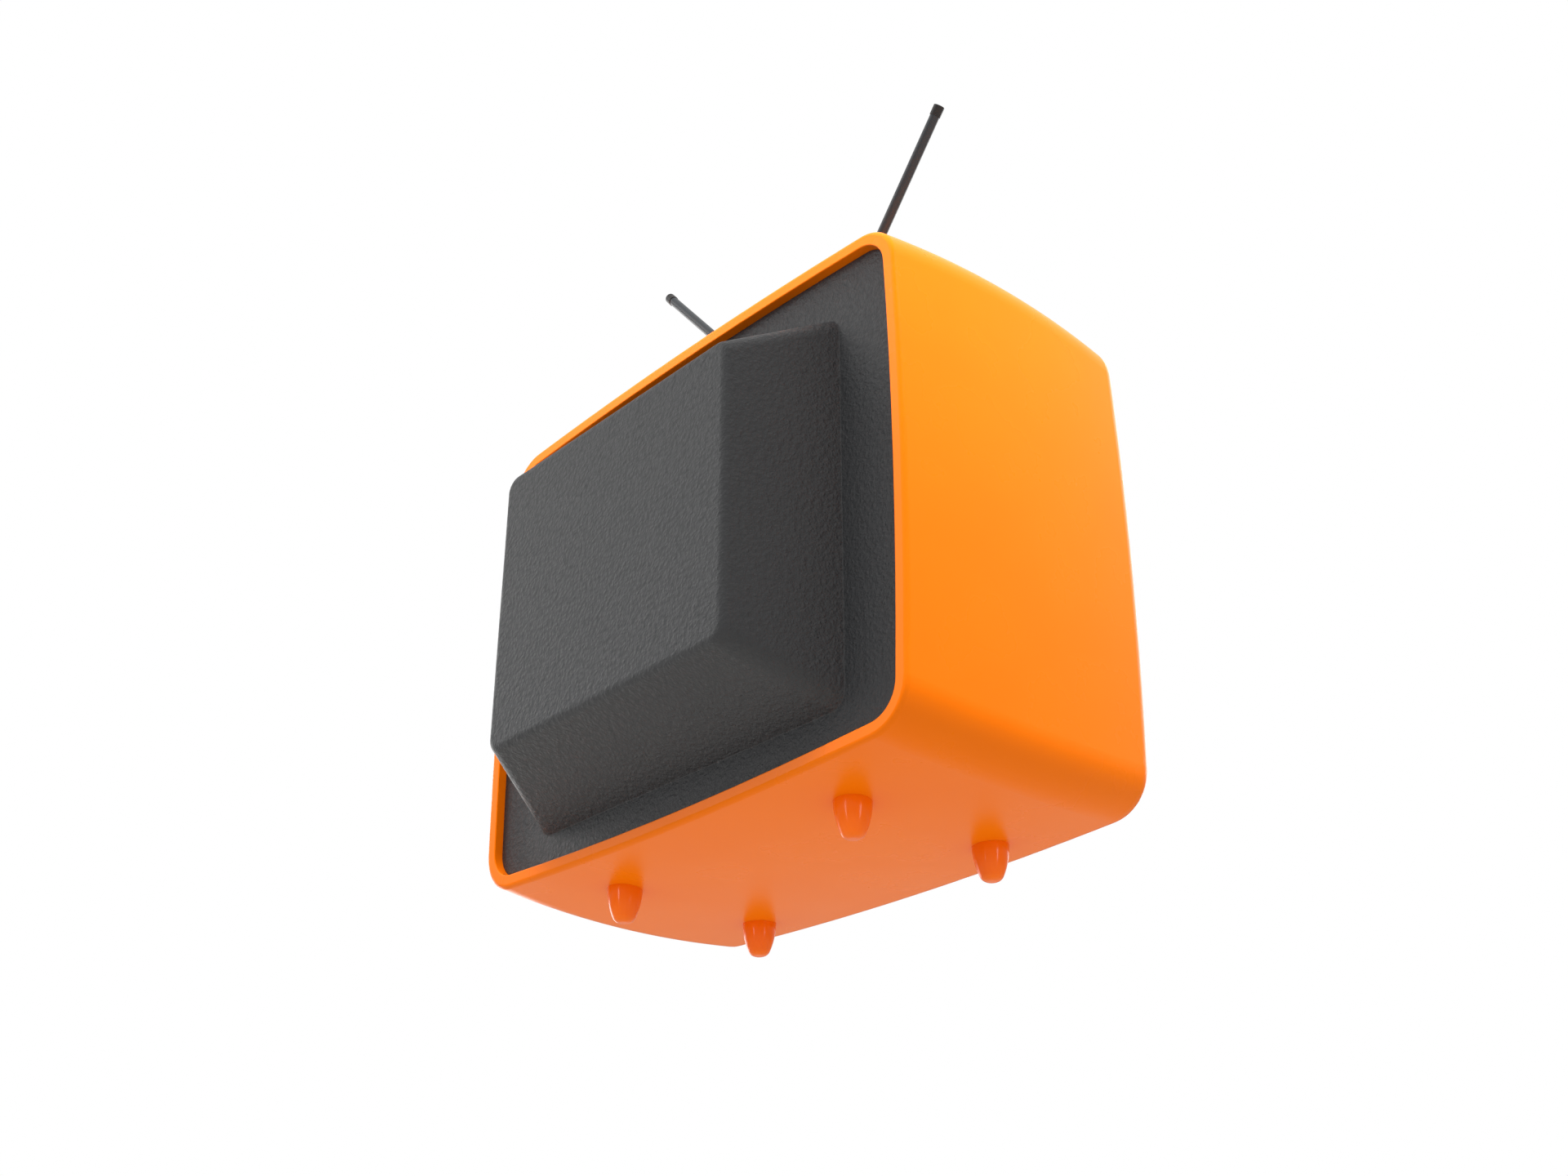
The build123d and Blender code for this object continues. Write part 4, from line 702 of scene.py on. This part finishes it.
for node, top, floor_depth in (
    ("channel_knob", 1.1, 1.58),
    ("uhf_knob", 1.1, 1.58),
    ("volume_knob", 0.3, 0.68),
    ("brightness_knob", 0.3, 0.68),
    ("contrast_knob", 0.3, 0.68),
):
    centre, radius, front = dial_of(node)
    reach = (centre.z + radius * 0.37, centre.z + radius * 0.84)
    bar = rounded_bar(centre.x, reach, (front + top * MM, front + floor_depth * MM), 0.62 * MM)
    piece = joined(node + "_pointer", [bar], white_paint, node)
    print(piece.name, "faces:", len(piece.data.polygons))

# %% [markdown]
# **Knob caps.** The two large knobs carry a spun aluminium cap in the middle of their dished face.
# Turning leaves fine rings round the axis, so the pattern is a wave of the distance from the knob's
# own centre. The rings are drawn 2 mm apart, coarser than the few tenths of a millimetre of real
# ones. The cap is turned from a profile: a shallow bowl that follows the dish, with a rounded edge.

# %% Spun caps
def waves_of(millimetres):
    """Scale of a wave pattern whose waves are this far apart."""
    # The pattern repeats every 2 pi / 20 of its scaled coordinate.
    return 2 * pi / 20 * cells_of(millimetres)


def spun_metal(name, centre):
    material, tree, shader, place = finish(name, "#c9cacd", 0.24, "#bfc0c3", Metallic=1.0)
    away = add(tree, "ShaderNodeVectorMath", {0: place, 1: centre}, operation="SUBTRACT")
    rings = add(
        tree,
        "ShaderNodeTexWave",
        {
            "Vector": away.outputs[0],
            "Scale": waves_of(2.042),
            "Distortion": 0.4,
            "Detail": 2.0,
        },
        wave_type="RINGS",
        rings_direction="Y",
    )
    bump(tree, shader, rings.outputs["Fac"], 0.012, 0.8)
    return material


def turned(profile, centre, steps=96):
    """Mesh of revolution about the line along Y through centre. Profile points are (radius, y)."""
    shape = bmesh.new()
    turns = [2 * pi * i / steps for i in range(steps)]
    rings = [
        [shape.verts.new((centre.x + r * cos(t), y, centre.z + r * sin(t))) for t in turns]
        for r, y in profile
    ]
    for inner, outer in zip(rings, rings[1:]):
        for i in range(steps):
            j = (i + 1) % steps
            shape.faces.new((inner[i], inner[j], outer[j], outer[i]))
    shape.faces.new(rings[0])
    shape.faces.new(rings[-1])
    bmesh.ops.recalc_face_normals(shape, faces=shape.faces)
    for face in shape.faces:
        face.smooth = len(face.verts) == 4
    mesh = bpy.data.meshes.new("turned")
    shape.to_mesh(mesh)
    shape.free()
    return mesh


def dish(front, ball, past, r):
    """Y of a knob's hollow face, r mm from its axis.

    The hollow is part of a sphere of radius ball, whose centre stands past in front of the knob,
    both in millimetres.
    """
    return front + (sqrt(ball**2 - r**2) - past) * MM


# Distance from the axis, and how far the cap stands proud of the dish there, in millimetres.
cap_profile = [(r, 0.28) for r in (0.05, 1.0, 2.0, 3.0, 4.0, 4.7)]
cap_profile += [(5.0, 0.2), (5.1, 0.08), (5.1, -0.02)]

for node, ball, past in (("channel_knob", 28.0, 26.5), ("uhf_knob", 31.0, 29.5)):
    centre, _, front = dial_of(node)
    profile = [(r * MM, dish(front, ball, past, r) - proud * MM) for r, proud in cap_profile]
    spun = spun_metal(node + "_spun_aluminium", centre)
    piece = joined(node + "_cap", [turned(profile, centre)], spun, node)
    print(piece.name, "faces:", len(piece.data.polygons))

# %% [markdown]
# **Speaker cloth.** A thin dark cloth is stretched over the speaker, and it shows between the
# slots. Its weave is two sets of waves at right angles. They are drawn 1 mm apart, about twice as
# coarse as real cloth.

# %% Speaker cloth
def woven(name, colour, second, pitch):
    material, tree, shader, place = finish(name, colour, 0.95, second, **{"Sheen Weight": 0.3})
    waves = [
        add(
            tree,
            "ShaderNodeTexWave",
            {
                "Vector": place,
                "Scale": waves_of(pitch),
                "Distortion": 0.6,
                "Detail Scale": 2.0,
            },
            bands_direction=axis,
        ).outputs["Fac"]
        for axis in ("X", "Z")
    ]
    height = add(tree, "ShaderNodeMath", {0: waves[0], 1: waves[1]}, operation="MULTIPLY")
    bump(tree, shader, height.outputs[0], 0.12, 0.9)
    return material


cloth = woven("black_speaker_cloth", "#1c1a18", "#26231f", 1.021)
cone_low, cone_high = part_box("speaker_cone")
cone_middle = (cone_low + cone_high) / 2
reach = (cone_high.x - cone_low.x) / 2 - 0.2 * MM
back = cone_low.y - 0.04 * MM
front = back - 0.1 * MM
profile = [(0.05 * MM, front), (reach, front), (reach, back)]
joined("speaker_cloth", [turned(profile, cone_middle)], cloth, "cabinet")
print("speaker cloth radius:", round(reach, 4))
